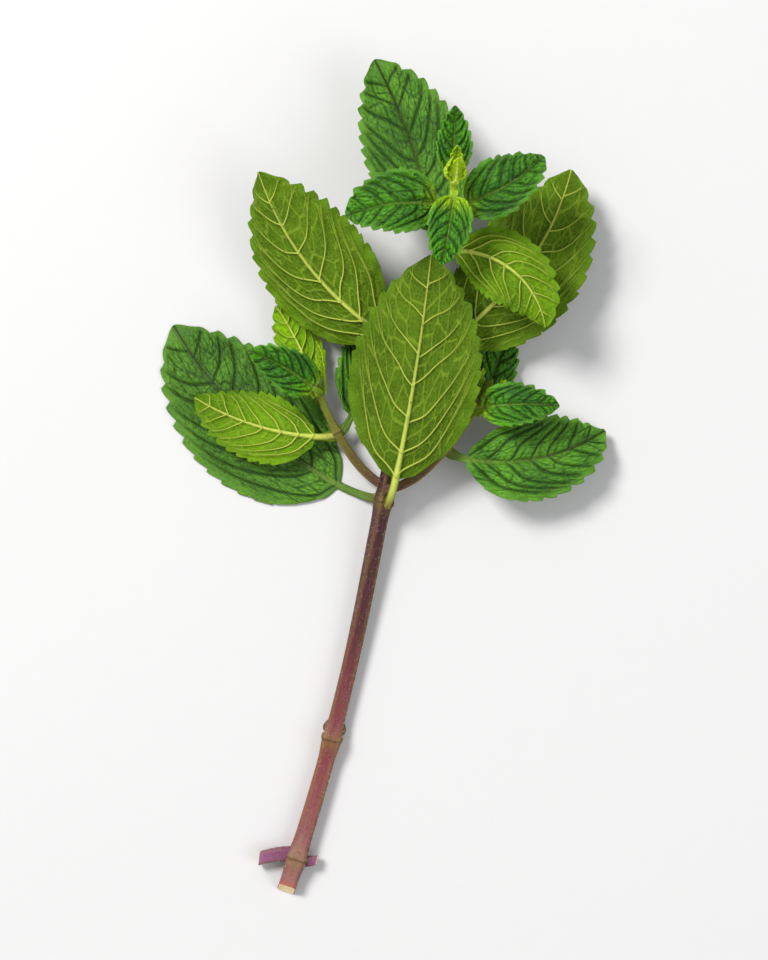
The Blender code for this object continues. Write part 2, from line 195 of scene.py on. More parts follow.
def makeLeafSkin(name, look):
    material, tree, shader = newMaterial(name)
    place, across, along, edge = readMark(tree, "bladeMark")
    _, phase, spacing, narrow = readMark(tree, "veinMark")
    _, cross, fine, tender = readMark(tree, "netMark")
    _, rib, blisterLight, dry = readMark(tree, "ribMark")
    _, youth, shade, ribLine = readMark(tree, "toneMark")
    colours = {key: linearColour(*value) for key, value in look.items() if key not in ("roughness",) and
               isinstance(value, tuple)}
    lines = addNode(tree, "ShaderNodeGroup", node_tree=veinLines)
    width = calc(tree, "MULTIPLY", narrow, look["veinWidth"])
    for key, value in (("Phase", phase), ("Spacing", spacing), ("Place", place), ("Width", width)):
        tree.links.new(value, lines.inputs[key])
    patches = addNode(tree, "ShaderNodeGroup", node_tree=mottle)
    tree.links.new(place, patches.inputs["Place"])
    inner = ramp(tree, edge, 0.72, 0.97, 1.0, 0.0)
    veins = calc(tree, "MULTIPLY", lines.outputs["Side Veins"], inner)
    crossLine = ramp(tree, cross, 0.1, 0.24, 1.0, 0.0)
    fineLine = ramp(tree, fine, 0.06, 0.17, 1.0, 0.0)
    firm = calc(tree, "MULTIPLY_ADD", tender, -0.8, 1.0)  # lines are faint on the newest leaves

    old = mixColour(tree, patches.outputs["Clouds"], colours["oldDeep"], colours["old"])
    young = mixColour(tree, patches.outputs["Clouds"], colours["youngDeep"], colours["young"])
    colour = mixColour(tree, youth, old, young)
    colour = mixColour(tree, calc(tree, "MULTIPLY", ramp(tree, edge, 0.7, 1.0), look["rimShare"]), colour,
                       colours["rim"])
    colour = mixColour(tree, tender, colour, colours["tender"])
    # painted light on the blisters: the middle of each cell between the veins is lightened as a painted highlight, and
    # its edges by the veins are darkened as painted shade; the specks add tone that differs at random, and the leaf's
    # shade mark scales it all
    lightness = calc(tree, "MULTIPLY_ADD", blisterLight, 0.34, 0.76)
    lightness = calc(tree, "MULTIPLY_ADD", calc(tree, "SUBTRACT", patches.outputs["Specks"], 0.2), 0.24, lightness)
    lightness = calc(tree, "MULTIPLY", lightness, shade)
    tint = addNode(tree, "ShaderNodeHueSaturation", {"Value": lightness, "Color": colour})
    colour = tint.outputs[0]
    # upper face: painted shade along the valleys of the side veins; underside: a darker green band along the raised
    # veins
    shoulder = calc(tree, "MULTIPLY", lines.outputs["Shoulder"], abs(look["valleyShare"]))
    colour = mixColour(tree, shoulder, colour, colours["vein" if look["valleyShare"] > 0 else "oldDeep"])
    # net, cross and side vein lines: on the upper face the veins' own green with painted shade in their grooves, on the
    # underside pale raised veins
    for line, share in ((lines.outputs["Areoles"], "areoleShare"), (fineLine, "fineShare"),
                        (crossLine, "crossShare"), (veins, "veinShare")):
        colour = mixColour(tree, calc(tree, "MULTIPLY", calc(tree, "MULTIPLY", line, look[share]), firm), colour,
                           colours["vein"])
    ribShare = calc(tree, "MULTIPLY", rib, ramp(tree, along, 4, 40, look["ribShare"], look["ribShare"] * look["ribFade"]))
    colour = mixColour(tree, ribShare, colour, colours["rib"])
    darkLine = calc(tree, "MULTIPLY", ribLine, ramp(tree, along, 6, 22, 0.0, look["ribLine"]))
    colour = mixColour(tree, darkLine, colour, colours["ribLineColour"])
    blush = calc(tree, "MULTIPLY", ramp(tree, along, -0.5, 4.5, 0.7, 0.0), calc(tree, "SUBTRACT", 1.0, youth))
    colour = mixColour(tree, blush, colour, colours["blush"])
    colour = mixColour(tree, calc(tree, "MULTIPLY", patches.outputs["Dots"], look["dotShare"]), colour, colours["dot"])
    colour = mixColour(tree, calc(tree, "MULTIPLY", dry, 0.85), colour, colours["dry"])
    tree.links.new(colour, shader.inputs["Base Color"])

    rough = calc(tree, "MULTIPLY_ADD", patches.outputs["Specks"], 0.1, ramp(tree, youth, 0, 1, *look["roughness"]))
    tree.links.new(rough, shader.inputs["Roughness"])
    relief = calc(tree, "MULTIPLY", lines.outputs["Areoles"], look["netDepth"] * 0.4)
    relief = calc(tree, "MULTIPLY_ADD", veins, look["veinDepth"], relief)
    relief = calc(tree, "MULTIPLY_ADD", crossLine, look["netDepth"], relief)
    relief = calc(tree, "MULTIPLY_ADD", fineLine, look["netDepth"] * 0.7, relief)
    relief = calc(tree, "MULTIPLY_ADD", patches.outputs["Specks"], 0.4, relief)
    bump = addNode(tree, "ShaderNodeBump", {"Height": relief, "Strength": look["bump"], "Distance": 0.15 * mm})
    tree.links.new(bump.outputs[0], shader.inputs["Normal"])
    shader.inputs["Subsurface Weight"].default_value = look["glow"]
    shader.inputs["Subsurface Radius"].default_value = (0.5, 1.0, 0.15)
    shader.inputs["Subsurface Scale"].default_value = 0.8 * mm
    shader.inputs["Specular IOR Level"].default_value = look["gloss"]
    return material


leafUpper, leafUnder = (makeLeafSkin(name, look) for name, look in leafLook.items())


# Stalk materials

stalkLook = {
    # share of the stalk's length and colour there
    "stemSkin": ((0.0, (140, 94, 82)), (0.05, (134, 96, 86)), (0.1, (126, 74, 74)), (0.2, (116, 54, 58)),
                 (0.36, (66, 28, 32)), (0.52, (48, 20, 24)), (0.68, (54, 30, 22)), (0.8, (80, 74, 22)),
                 (0.88, (104, 132, 18)), (1.0, (140, 176, 14))),
    "shootSkin": ((0.0, (84, 50, 40)), (0.3, (94, 90, 30)), (1.0, (112, 144, 26))),
    "stubSkin": ((0.0, (112, 60, 92)), (0.6, (128, 74, 112)), (1.0, (140, 88, 116))),
}
stalkFinish = {
    "corner": (132, 100, 48), "footCorner": (104, 50, 84), "cornerShare": 0.4,
    # flush is a painted highlight: lighter streaks of the stem's own purple on the dark maroon
    "streak": (106, 104, 40), "streakShare": 0.3, "flush": (126, 60, 96), "flushShare": 0.4,
    "node": (122, 112, 44), "nodeShare": 0.45, "ring": (48, 22, 20), "ringShare": 0.4,
    "freckle": (44, 18, 22), "freckleShare": 0.45,
    "cutBlush": (178, 78, 60), "cutBlushShare": {"stemSkin": 0.45, "shootSkin": 0.0, "stubSkin": 0.0},
    "bump": 0.8, "roughness": (0.38, 0.56),
}


def makeStalkSkin(name, stops, finish):
    material, tree, shader = newMaterial(name)
    _, along, node, seed = readMark(tree, "stalkMark")
    _, aroundX, aroundY, _ = readMark(tree, "aroundMark")
    flow = addNode(tree, "ShaderNodeCombineXYZ", {0: aroundX, 1: aroundY, 2: calc(tree, "MULTIPLY", along, 6.0)})
    blotch = addNode(tree, "ShaderNodeTexNoise", {"Vector": flow.outputs[0], "Scale": 1.6, "Detail": 4.0})
    lines = addNode(tree, "ShaderNodeTexNoise", {"Vector": flow.outputs[0], "Scale": 9.0, "Detail": 3.0})
    fleck = addNode(tree, "ShaderNodeTexNoise",
                    {"Vector": addNode(tree, "ShaderNodeTexCoord").outputs["Object"], "Scale": 2600.0, "Detail": 2.0})
    shift = calc(tree, "MULTIPLY_ADD", calc(tree, "SUBTRACT", blotch.outputs[0], 0.5), 0.3, along)
    colours = addNode(tree, "ShaderNodeValToRGB", {0: shift})
    band = colours.color_ramp
    for k, (share, colour) in enumerate(stops):
        stop = band.elements[k] if k < 2 else band.elements.new(share)
        stop.position, stop.color = share, linearColour(*colour)
    corner = calc(tree, "ABSOLUTE", calc(tree, "MULTIPLY", aroundX, aroundY))
    corner = calc(tree, "MULTIPLY", ramp(tree, corner, 0.35, 0.8), finish["cornerShare"])
    edgeColour = mixColour(tree, ramp(tree, along, 0.04, 0.12), linearColour(*finish["footCorner"]),
                           linearColour(*finish["corner"]))
    colour = mixColour(tree, corner, colours.outputs[0], edgeColour)
    streak = calc(tree, "MULTIPLY", ramp(tree, lines.outputs[0], 0.5, 0.75), finish["streakShare"])
    colour = mixColour(tree, streak, colour, linearColour(*finish["streak"]))
    # painted highlight: lighter purple streaks between the ochre ones, over the lower three fifths of each stalk and
    # fading out by three quarters
    flush = calc(tree, "MULTIPLY", ramp(tree, lines.outputs[0], 0.5, 0.3), finish["flushShare"])
    flush = calc(tree, "MULTIPLY", flush, ramp(tree, along, 0.6, 0.75, 1.0, 0.0))
    colour = mixColour(tree, flush, colour, linearColour(*finish["flush"]))
    grown = ramp(tree, along, 0.76, 0.88, 1.0, 0.0)  # the young end is plain green
    below = calc(tree, "MULTIPLY", calc(tree, "MULTIPLY", node, blotch.outputs[0]), finish["nodeShare"] * 1.6)
    colour = mixColour(tree, calc(tree, "MULTIPLY", below, grown), colour, linearColour(*finish["node"]))
    ring = calc(tree, "MULTIPLY", calc(tree, "MULTIPLY", ramp(tree, node, 0.955, 1.0), grown), finish["ringShare"])
    colour = mixColour(tree, ring, colour, linearColour(*finish["ring"]))
    freckle = calc(tree, "MULTIPLY", ramp(tree, fleck.outputs[0], 0.55, 0.75), finish["freckleShare"])
    colour = mixColour(tree, calc(tree, "MULTIPLY", freckle, grown), colour, linearColour(*finish["freckle"]))
    blush = calc(tree, "MULTIPLY", ramp(tree, seed, 0.0, 1.3, 1.0, 0.0), finish["cutBlushShare"][name])
    colour = mixColour(tree, blush, colour, linearColour(*finish["cutBlush"]))
    tree.links.new(colour, shader.inputs["Base Color"])
    tree.links.new(ramp(tree, blotch.outputs[0], 0.3, 0.7, *finish["roughness"]), shader.inputs["Roughness"])
    relief = calc(tree, "MULTIPLY_ADD", fleck.outputs[0], 0.25, lines.outputs[0])
    bump = addNode(tree, "ShaderNodeBump", {"Height": relief, "Strength": finish["bump"], "Distance": 0.12 * mm})
    tree.links.new(bump.outputs[0], shader.inputs["Normal"])
    shader.inputs["Specular IOR Level"].default_value = 0.2
    shader.inputs["Subsurface Weight"].default_value = 0.08
    shader.inputs["Subsurface Radius"].default_value = (1.0, 0.6, 0.3)
    shader.inputs["Subsurface Scale"].default_value = 0.6 * mm
    return material


stemSkin, shootSkin, stubSkin = (makeStalkSkin(name, stops, stalkFinish) for name, stops in stalkLook.items())


def makePlainSkin(name, colour, second, scale, roughness, bump):
    # a speckled surface, for the cut face, the scars, the buds and the hairs
    material, tree, shader = newMaterial(name)
    place = addNode(tree, "ShaderNodeTexCoord").outputs["Object"]
    patches = addNode(tree, "ShaderNodeGroup", node_tree=mottle)
    tree.links.new(place, patches.inputs["Place"])
    patches.inputs["Cloud Scale"].default_value = scale
    patches.inputs["Speck Scale"].default_value = scale * 4
    share = calc(tree, "MULTIPLY_ADD", patches.outputs["Specks"], 0.4, calc(tree, "MULTIPLY", patches.outputs["Clouds"], 0.6))
    tree.links.new(mixColour(tree, share, linearColour(*colour), linearColour(*second)), shader.inputs["Base Color"])
    tree.links.new(ramp(tree, patches.outputs["Specks"], 0, 1, roughness, roughness + 0.15), shader.inputs["Roughness"])
    raised = addNode(tree, "ShaderNodeBump",
                     {"Height": patches.outputs["Specks"], "Strength": bump, "Distance": 0.1 * mm})
    tree.links.new(raised.outputs[0], shader.inputs["Normal"])
    shader.inputs["Subsurface Weight"].default_value = 0.1
    shader.inputs["Subsurface Radius"].default_value = (1.0, 0.8, 0.4)
    shader.inputs["Subsurface Scale"].default_value = 0.5 * mm
    return material


cutFace = makePlainSkin("cutFace", (255, 238, 196), (240, 208, 148), 900.0, 0.6, 0.6)
scarCork = makePlainSkin("scarCork", (150, 112, 74), (92, 62, 42), 1500.0, 0.65, 0.7)
budScale = makePlainSkin("budScale", (98, 84, 40), (78, 42, 38), 700.0, 0.45, 0.5)
fineHair = makePlainSkin("fineHair", (214, 220, 186), (190, 200, 150), 800.0, 0.5, 0.0)
print("materials made")


# Where everything grows, the same as in the solids

right, front, left, back = 0, 90, 180, 270  # azimuths round a stalk, before its roll
gap = 0.35  # between the solids of a stalk and of what grows on it
stemLying = 36.0  # the stretch whose underside is flat on the table

# bends are (distance, heading, climb, roll) and widths (distance, width across the flats)
stalkLayout = {
    "stem": {
        "place": None,
        "bends": ((0, 19, 0, 0), (36, 14, 0, 0), (44, 13, 1.6, 0), (60, 11, 5, 14), (76, 11, 8, 30),
                  (106, 14, 8, 28), (121, 15, 20, 18), (136, 8, 50, 8), (146, 2, 62, 0)),
        "widths": ((0, 3.4), (36, 3.1), (76, 2.7), (106, 2.3), (125, 1.8), (136, 1.3), (141, 0.9),
                   (142.4, 1.1), (143.8, 0.9), (145, 0.5)),
        "nodes": {0: 6.8, 1: 30.0, 2: 76.0, 3: 105.0, 4: 124.0, 5: 134.0, 6: 138.8, 7: 141.6},
    },
    "left_stub": {
        "place": ("stem", 0, left, 0.3), "bends": ((0, -92, -2, 0), (5.6, -112, -2, 0)),
        "widths": ((0, 2.7), (5.6, 2.3)), "nodes": {},
    },
    "right_stub": {
        "place": ("stem", 0, right, 0.3), "bends": ((0, 84, 6, 0), (2.0, 74, 6, 0)),
        "widths": ((0, 1.9), (2.0, 1.6)), "nodes": {},
    },
    "left_shoot": {
        "place": ("stem", 2, back, 2.8),
        "bends": ((0, -58, -4, 0), (8, -34, 6, 0), (20, -22, 12, 0), (28, -14, 26, 0)),
        "widths": ((0, 1.8), (14, 1.6), (22, 1.3), (24.4, 1.1), (26.0, 1.8), (27.6, 1.3), (28.6, 0.5)),
        "nodes": {1: 13.0, 2: 21.5},
    },
    "right_shoot": {
        "place": ("stem", 2, front, 2.8),
        "bends": ((0, 76, 12, 0), (8, 46, 0, 0), (20, 34, 3, 0), (28, 28, 14, 0)),
        "widths": ((0, 1.8), (14, 1.6), (22, 1.3), (24.4, 1.1), (26.0, 1.8), (27.6, 1.3), (28.6, 0.5)),
        "nodes": {1: 13.0, 2: 22.0},
    },
}

# Headings, climbs and rolls are given at the foot and the tip, or at the foot, the blade's base and the tip.
leafFields = "stalk node azimuth petiole length width heading climb roll fold cup teeth quilt shade dry".split()
leafLayout = {
    "leaf_2_front": ("stem", 2, front, 6.5, 42, 24.5, (22, 12, 6), (60, 18, -2), (182, 176), 10, 0.1, 13, 0.6, 0.83, 0.1),
    "leaf_2_back": ("stem", 2, back, 8.5, 44, 25.0, (-80, -62, -30), (-36, -6, 0), (-4, 4), 6, 0.05, 13, 1.2, 0.9, 0.3),
    "leaf_3_right": ("stem", 3, right, 5, 40, 22.0, (66, 58, 14), (0, 6, -8), (190, 168), 12, 0.12, 13, 0.8, 0.95, 0.5),
    "leaf_3_left": ("stem", 3, left, 5, 39, 21.5, (-66, -58, -18), (24, 12, 2), (172, 150), 26, 0.12, 13, 0.8, 0.98, 0.1),
    "leaf_4_front": ("stem", 4, front, 3, 24, 13.5, (50, 90, 170), (60, 22, -24), (166, 188), 14, 0.1, 11, 1.2, 0.95, 0.1),
    "leaf_4_back": ("stem", 4, back, 3.5, 34, 19.0, (-10, -28), (-10, 6), (4, -8), 10, 0.10, 12, 1.2, 1.0, 0.1),
    "leaf_5_left": ("stem", 5, left, 1.8, 17, 12.5, (-80, -112), (26, -24), (8, 20), 20, 0.10, 8, 2.2, 0.95, 0.0),
    "leaf_5_right": ("stem", 5, right, 1.8, 17, 11.5, (76, 46), (30, -12), (-8, -22), 20, 0.10, 8, 2.2, 0.95, 0.0),
    "leaf_6_front": ("stem", 6, front, 1.0, 13.0, 8.4, (186, 194), (30, -24), (0, 0), 14, 0.10, 6, 2.4, 1.1, 0.0),
    "leaf_6_back": ("stem", 6, back, 1.6, 12.5, 6.8, (0, 2), (0, 16), (0, 0), 18, 0.10, 6, 2.4, 1.0, 0.0),
    "leaf_7_left": ("stem", 7, left, 1.8, 4.8, 2.6, (-71, 16, 38), (30, 60, 62), (80, 85, 90), 8, 0.10, 4, 1.2, 1.25, 0.0),
    "leaf_7_right": ("stem", 7, right, 1.8, 4.6, 2.6, (79, -8, -30), (30, 60, 62), (-80, -85, -90), 8, 0.10, 4, 1.2, 1.25, 0.0),
    "left_shoot_leaf_1_left":
        ("left_shoot", 1, left, 3, 24, 13.5, (-100, -86, -58), (10, 2, -6), (186, 190), 12, 0.1, 11, 1.0, 0.95, 0.1),
    "left_shoot_leaf_1_right":
        ("left_shoot", 1, right, 3, 22, 12.0, (38, 22, 8), (4, -6, -4), (10, 0), 12, 0.1, 9, 1.5, 1.1, 0.0),
    "left_shoot_leaf_2_front":
        ("left_shoot", 2, front, 2, 15, 8.4, (-40, -50, -70), (64, 40, 0), (0, 0), 16, 0.1, 7, 2.0, 1.1, 0.0),
    "left_shoot_leaf_2_back":
        ("left_shoot", 2, back, 2, 16, 8.6, (-24, -20, -34), (-40, -2, 10), (180, 180), 16, 0.1, 7, 1.6, 1.1, 0.0),
    "right_shoot_leaf_1_right":
        ("right_shoot", 1, right, 3, 28, 16.0, (120, 100, 56), (0, 4, -24), (0, -6), 12, 0.1, 11, 1.5, 1.1, 0.1),
    "right_shoot_leaf_1_left":
        ("right_shoot", 1, left, 3, 20, 12.0, (-40, -10, 16), (-10, -30, -14), (0, 0), 12, 0.1, 9, 1.5, 1.0, 0.0),
    "right_shoot_leaf_2_front":
        ("right_shoot", 2, front, 2, 15, 8.4, (60, 80, 98), (64, 34, -8), (0, 0), 16, 0.1, 7, 2.0, 1.1, 0.0),
    "right_shoot_leaf_2_back":
        ("right_shoot", 2, back, 2, 16, 8.6, (34, 30, 16), (-60, -30, -8), (0, 0), 16, 0.1, 7, 2.0, 1.0, 0.0),
}
youngLeaves = ("leaf_5", "leaf_6", "leaf_7", "shoot_leaf_2", "leaflet")

# The youngest leaves, still closed round the end buds, cover the buds of the solids.
leafletLayout = {
    "tip_leaflet_front": ("stem", 7, front, 0.8, 6.2, 2.8, (60, 4, 4), (64, 60, 56), (180, 184), 24, 0.1, 3, 1.0, 1.4, 0.0),
    "tip_leaflet_back": ("stem", 7, back, 0.8, 5.4, 2.4, (4, 4), (10, 68), (0, 4), 24, 0.1, 3, 1.0, 1.4, 0.0),
    "left_tip_leaflet_left":
        ("left_shoot", 2, left, 3.6, 5.0, 2.4, (-30, -16), (10, 26), (30, 60), 30, 0.1, 3, 1.0, 1.25, 0.0),
    "left_tip_leaflet_right":
        ("left_shoot", 2, right, 3.6, 5.2, 2.4, (0, -14), (14, 26), (-30, -60), 30, 0.1, 3, 1.0, 1.25, 0.0),
    "right_tip_leaflet_left":
        ("right_shoot", 2, left, 3.0, 4.8, 2.4, (14, 26), (4, 20), (30, 60), 30, 0.1, 3, 1.0, 1.25, 0.0),
    "right_tip_leaflet_right":
        ("right_shoot", 2, right, 3.0, 5.0, 2.4, (46, 30), (4, 20), (-30, -60), 30, 0.1, 3, 1.0, 1.25, 0.0),
}


def direction(heading, climb):
    h, c = np.radians(heading), np.radians(climb)
    return np.stack([np.sin(h) * np.cos(c), np.cos(h) * np.cos(c), np.sin(c)], axis=-1)


def layPath(start, bends):
    marks, *turns = np.array(bends, float).T
    s = np.linspace(0, marks[-1], int(math.ceil(marks[-1] / 0.25)) + 1)
    ways = direction(np.interp(s, marks, turns[0]), np.interp(s, marks, turns[1]))
    steps = (ways[1:] + ways[:-1]) / 2 * (s[1] - s[0])
    points = np.array(start, float) + np.vstack([np.zeros(3), np.cumsum(steps, axis=0)])
    return {"marks": marks, "turns": turns, "s": s, "points": points, "length": marks[-1]}


def pathPoint(path, s):
    # below 0 and past the end it goes straight on
    point = np.stack([np.interp(s, path["s"], path["points"][:, k]) for k in range(3)], axis=-1)
    beyond = np.minimum(s, 0) + np.maximum(s - path["length"], 0)
    return point + beyond[..., None] * pathFrame(path, s)[0]


def pathFrame(path, s):
    # tangent, side and normal: with no roll the side points right and the normal up
    heading, climb, roll = (np.interp(s, path["marks"], turn) for turn in path["turns"])
    tangent = direction(heading, climb)
    up = np.array([0, 0, 1]) - tangent * tangent[..., 2:]
    up = up / np.linalg.norm(up, axis=-1, keepdims=True)
    side = np.cross(tangent, up)
    cosRoll, sinRoll = np.cos(np.radians(roll))[..., None], np.sin(np.radians(roll))[..., None]
    return tangent, side * cosRoll - up * sinRoll, up * cosRoll + side * sinRoll


# Stalks

stalkForm = {
    "nodeSwell": 0.18, "nodeReach": 1.5,  # as in the solids
    "ridge": 0.10, "ridgeWidth": 0.35,  # the thin line round the stalk between a pair of petioles, mm
    "step": 0.5, "sides": 40,
    "squareness": 4.2, "hollow": 0.045,  # how square the section is, and how far its sides sink in
    "cutSlant": 0.5, "stubSlant": 0.55, "rind": 0.13,  # how the cut ends slope, and the skin round their faces
}


def stalkHalf(stalk, s):
    stations, widths = zip(*stalk["widths"])
    half = np.interp(s, stations, widths) / 2
    reach = stalkForm["nodeReach"] * half
    for place in stalk["nodes"].values():
        half = half * (1 + stalkForm["nodeSwell"] * np.exp(-(((s - place) / reach) ** 2)))
    return half


def stalkCentre(stalk, s):
    point = pathPoint(stalk["path"], s)
    if not stalk["place"]:
        point[..., 2] += stalkHalf(stalk, np.clip(s, 0, stemLying))
    return point


def seatAt(stalkName, node, azimuth, above=0.0):
    # centre, outward direction and half width where something grows
    stalk = stalkLayout[stalkName]
    s = np.float64(stalk["nodes"][node] + above)
    _, side, normal = pathFrame(stalk["path"], s)
    turn = math.radians(azimuth)
    return stalkCentre(stalk, s), side * math.cos(turn) + normal * math.sin(turn), stalkHalf(stalk, s)


def makeStalkSweep():
    # sweeps a rounded square along the input's edges
    tree, given, result = newGroup(
        "stalkSweep", "GeometryNodeTree",
        [("Geometry", "NodeSocketGeometry", None), ("Sides", "NodeSocketInt", 40),
         ("Squareness", "NodeSocketFloat", 4.0), ("Hollow", "NodeSocketFloat", 0.04), ("Skin", "NodeSocketMaterial", None)],
        [("Geometry", "NodeSocketGeometry")])
    circle = addNode(tree, "GeometryNodeCurvePrimitiveCircle", {"Resolution": given["Sides"], "Radius": 1.0})
    place = addNode(tree, "GeometryNodeInputPosition").outputs[0]
    split = addNode(tree, "ShaderNodeSeparateXYZ", {0: place})
    x, y = (calc(tree, "ABSOLUTE", split.outputs[k]) for k in (0, 1))
    power = calc(tree, "ADD", calc(tree, "POWER", x, given["Squareness"]), calc(tree, "POWER", y, given["Squareness"]))
    square = calc(tree, "POWER", power, calc(tree, "DIVIDE", -1.0, given["Squareness"]))
    # the middle of a side is where x or y is 0
    middle = calc(tree, "POWER", calc(tree, "SUBTRACT", 1.0, calc(tree, "MULTIPLY", 4.0, calc(
        tree, "MULTIPLY", calc(tree, "POWER", x, 2.0), calc(tree, "POWER", y, 2.0)))), 2.0)
    size = calc(tree, "MULTIPLY", square, calc(tree, "SUBTRACT", 1.0, calc(tree, "MULTIPLY", middle, given["Hollow"])))
    shaped = addNode(tree, "ShaderNodeVectorMath", {0: place, "Scale": size}, operation="SCALE")
    profile = addNode(tree, "GeometryNodeSetPosition", {"Geometry": circle.outputs[0], "Position": shaped.outputs[0]})
    kept = addNode(tree, "GeometryNodeStoreNamedAttribute",
                   {"Geometry": profile.outputs[0], "Name": "aroundMark",
                    "Value": addNode(tree, "GeometryNodeInputPosition").outputs[0]}, data_type="FLOAT_VECTOR", domain="POINT")
    curve = addNode(tree, "GeometryNodeMeshToCurve", {"Mesh": given["Geometry"]})
    sideWay = addNode(tree, "GeometryNodeInputNamedAttribute", {"Name": "sideWay"}, data_type="FLOAT_VECTOR")
    turned = addNode(tree, "GeometryNodeSetCurveNormal", {"Curve": curve.outputs[0]}, mode="FREE")
    tree.links.new(sideWay.outputs[0], turned.inputs["Normal"])
    half = addNode(tree, "GeometryNodeInputNamedAttribute", {"Name": "halfWidth"}, data_type="FLOAT")
    swept = addNode(tree, "GeometryNodeCurveToMesh",
                    {"Curve": turned.outputs[0], "Profile Curve": kept.outputs[0], "Scale": half.outputs[0],
                     "Fill Caps": True})
    shaded = addNode(tree, "GeometryNodeSetShadeSmooth", {"Geometry": swept.outputs[0], "Shade Smooth": True})
    real = addNode(tree, "GeometryNodeRealizeInstances", {"Geometry": shaded.outputs[0]})
    dressed = addNode(tree, "GeometryNodeSetMaterial", {"Geometry": real.outputs[0], "Material": given["Skin"]})
    tree.links.new(dressed.outputs[0], result[0])
    return tree


def makeHairCover():
    # short fine hairs, as dense as the hairShare mark says
    tree, given, result = newGroup(
        "hairCover", "GeometryNodeTree",
        [("Geometry", "NodeSocketGeometry", None), ("Hairs Per Square Metre", "NodeSocketFloat", 1e6),
         ("Length", "NodeSocketFloat", 0.0004), ("Thickness", "NodeSocketFloat", 0.00003),
         ("Lean", "NodeSocketFloat", 0.6), ("Seed", "NodeSocketInt", 1), ("Skin", "NodeSocketMaterial", None)],
        [("Geometry", "NodeSocketGeometry")])
    share = addNode(tree, "GeometryNodeInputNamedAttribute", {"Name": "hairShare"}, data_type="FLOAT")
    density = calc(tree, "MULTIPLY", share.outputs[0], given["Hairs Per Square Metre"])
    points = addNode(tree, "GeometryNodeDistributePointsOnFaces",
                     {"Mesh": given["Geometry"], "Density": density, "Seed": given["Seed"]}, distribute_method="RANDOM")
    hair = addNode(tree, "GeometryNodeMeshCone",
                   {"Vertices": 3, "Side Segments": 1, "Radius Top": 0.0,
                    "Radius Bottom": calc(tree, "MULTIPLY", given["Thickness"], 0.5), "Depth": given["Length"]},
                   fill_type="NONE")
    lean = calc(tree, "MULTIPLY", given["Lean"], -1.0)
    tilt = addNode(tree, "FunctionNodeRandomValue", data_type="FLOAT_VECTOR")
    low, high = [s for s in tilt.inputs if s.type == "VECTOR"][:2]
    tree.links.new(addNode(tree, "ShaderNodeCombineXYZ", {0: lean, 1: lean, 2: -3.1}).outputs[0], low)
    tree.links.new(addNode(tree, "ShaderNodeCombineXYZ", {0: given["Lean"], 1: given["Lean"], 2: 3.1}).outputs[0], high)
    tree.links.new(given["Seed"], tilt.inputs["Seed"])
    turn = addNode(tree, "FunctionNodeRotateRotation", {0: points.outputs["Rotation"]}, rotation_space="LOCAL")
    tree.links.new(tilt.outputs[0], turn.inputs[1])
    length = addNode(tree, "FunctionNodeRandomValue", data_type="FLOAT")
    shortest, longest = [s for s in length.inputs if s.type == "VALUE"][:2]
    shortest.default_value, longest.default_value = 0.55, 1.2
    cover = addNode(tree, "GeometryNodeInstanceOnPoints",
                    {"Points": points.outputs["Points"], "Instance": hair.outputs[0], "Rotation": turn.outputs[0]})
    scale = [s for s in length.outputs if s.type == "VALUE"][0]
    tree.links.new(scale, cover.inputs["Scale"])
    real = addNode(tree, "GeometryNodeRealizeInstances", {"Geometry": cover.outputs[0]})
    dressed = addNode(tree, "GeometryNodeSetMaterial", {"Geometry": real.outputs[0], "Material": given["Skin"]})
    tree.links.new(dressed.outputs[0], result[0])
    return tree


stalkSweep = makeStalkSweep()
hairCover = makeHairCover()


def growMesh(name, bedMesh, tree, values):
    # runs a Geometry Nodes tree on a mesh and returns the plain result
    bed = bpy.data.objects.new(name + "Bed", bedMesh)
    scene.collection.objects.link(bed)
    modifier = bed.modifiers.new("grow", "NODES")
    modifier.node_group = tree
    for item in tree.interface.items_tree:
        if item.item_type == "SOCKET" and item.in_out == "INPUT" and item.name in values:
            modifier[item.identifier] = values[item.name]
    bpy.context.view_layer.update()
    grown = bpy.data.meshes.new_from_object(bed.evaluated_get(bpy.context.evaluated_depsgraph_get()))
    bpy.data.objects.remove(bed)
    grown.name = name
    return grown


def addMark(mesh, name, values, domain="POINT"):
    values = np.asarray(values, np.float32)
    kind, field = ("FLOAT_VECTOR", "vector") if values.ndim == 2 else ("FLOAT", "value")
    mesh.attributes.new(name, kind, domain).data.foreach_set(field, values.ravel())


def addPiece(name, mesh, slot, *nodes):
    piece = bpy.data.objects.new(name, mesh)
    scene.collection.objects.link(piece)
    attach(piece, "root")
    if nodes:
        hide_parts(*nodes)
    return piece


def faceOutwards(mesh):
    bm = bmesh.new()
    bm.from_mesh(mesh)
    bmesh.ops.recalc_face_normals(bm, faces=bm.faces)
    if bm.calc_volume(signed=True) < 0:
        bmesh.ops.reverse_faces(bm, faces=bm.faces)
    bm.to_mesh(mesh)
    bm.free()


def meshPoints(mesh):
    points = np.empty(len(mesh.vertices) * 3, np.float32)
    mesh.vertices.foreach_get("co", points)
    return points.reshape(-1, 3)


def liftOffTable(mesh):
    points = meshPoints(mesh)
    points[:, 2] = np.maximum(points[:, 2], 0)
    mesh.vertices.foreach_set("co", points.ravel())
    mesh.update()
    return mesh


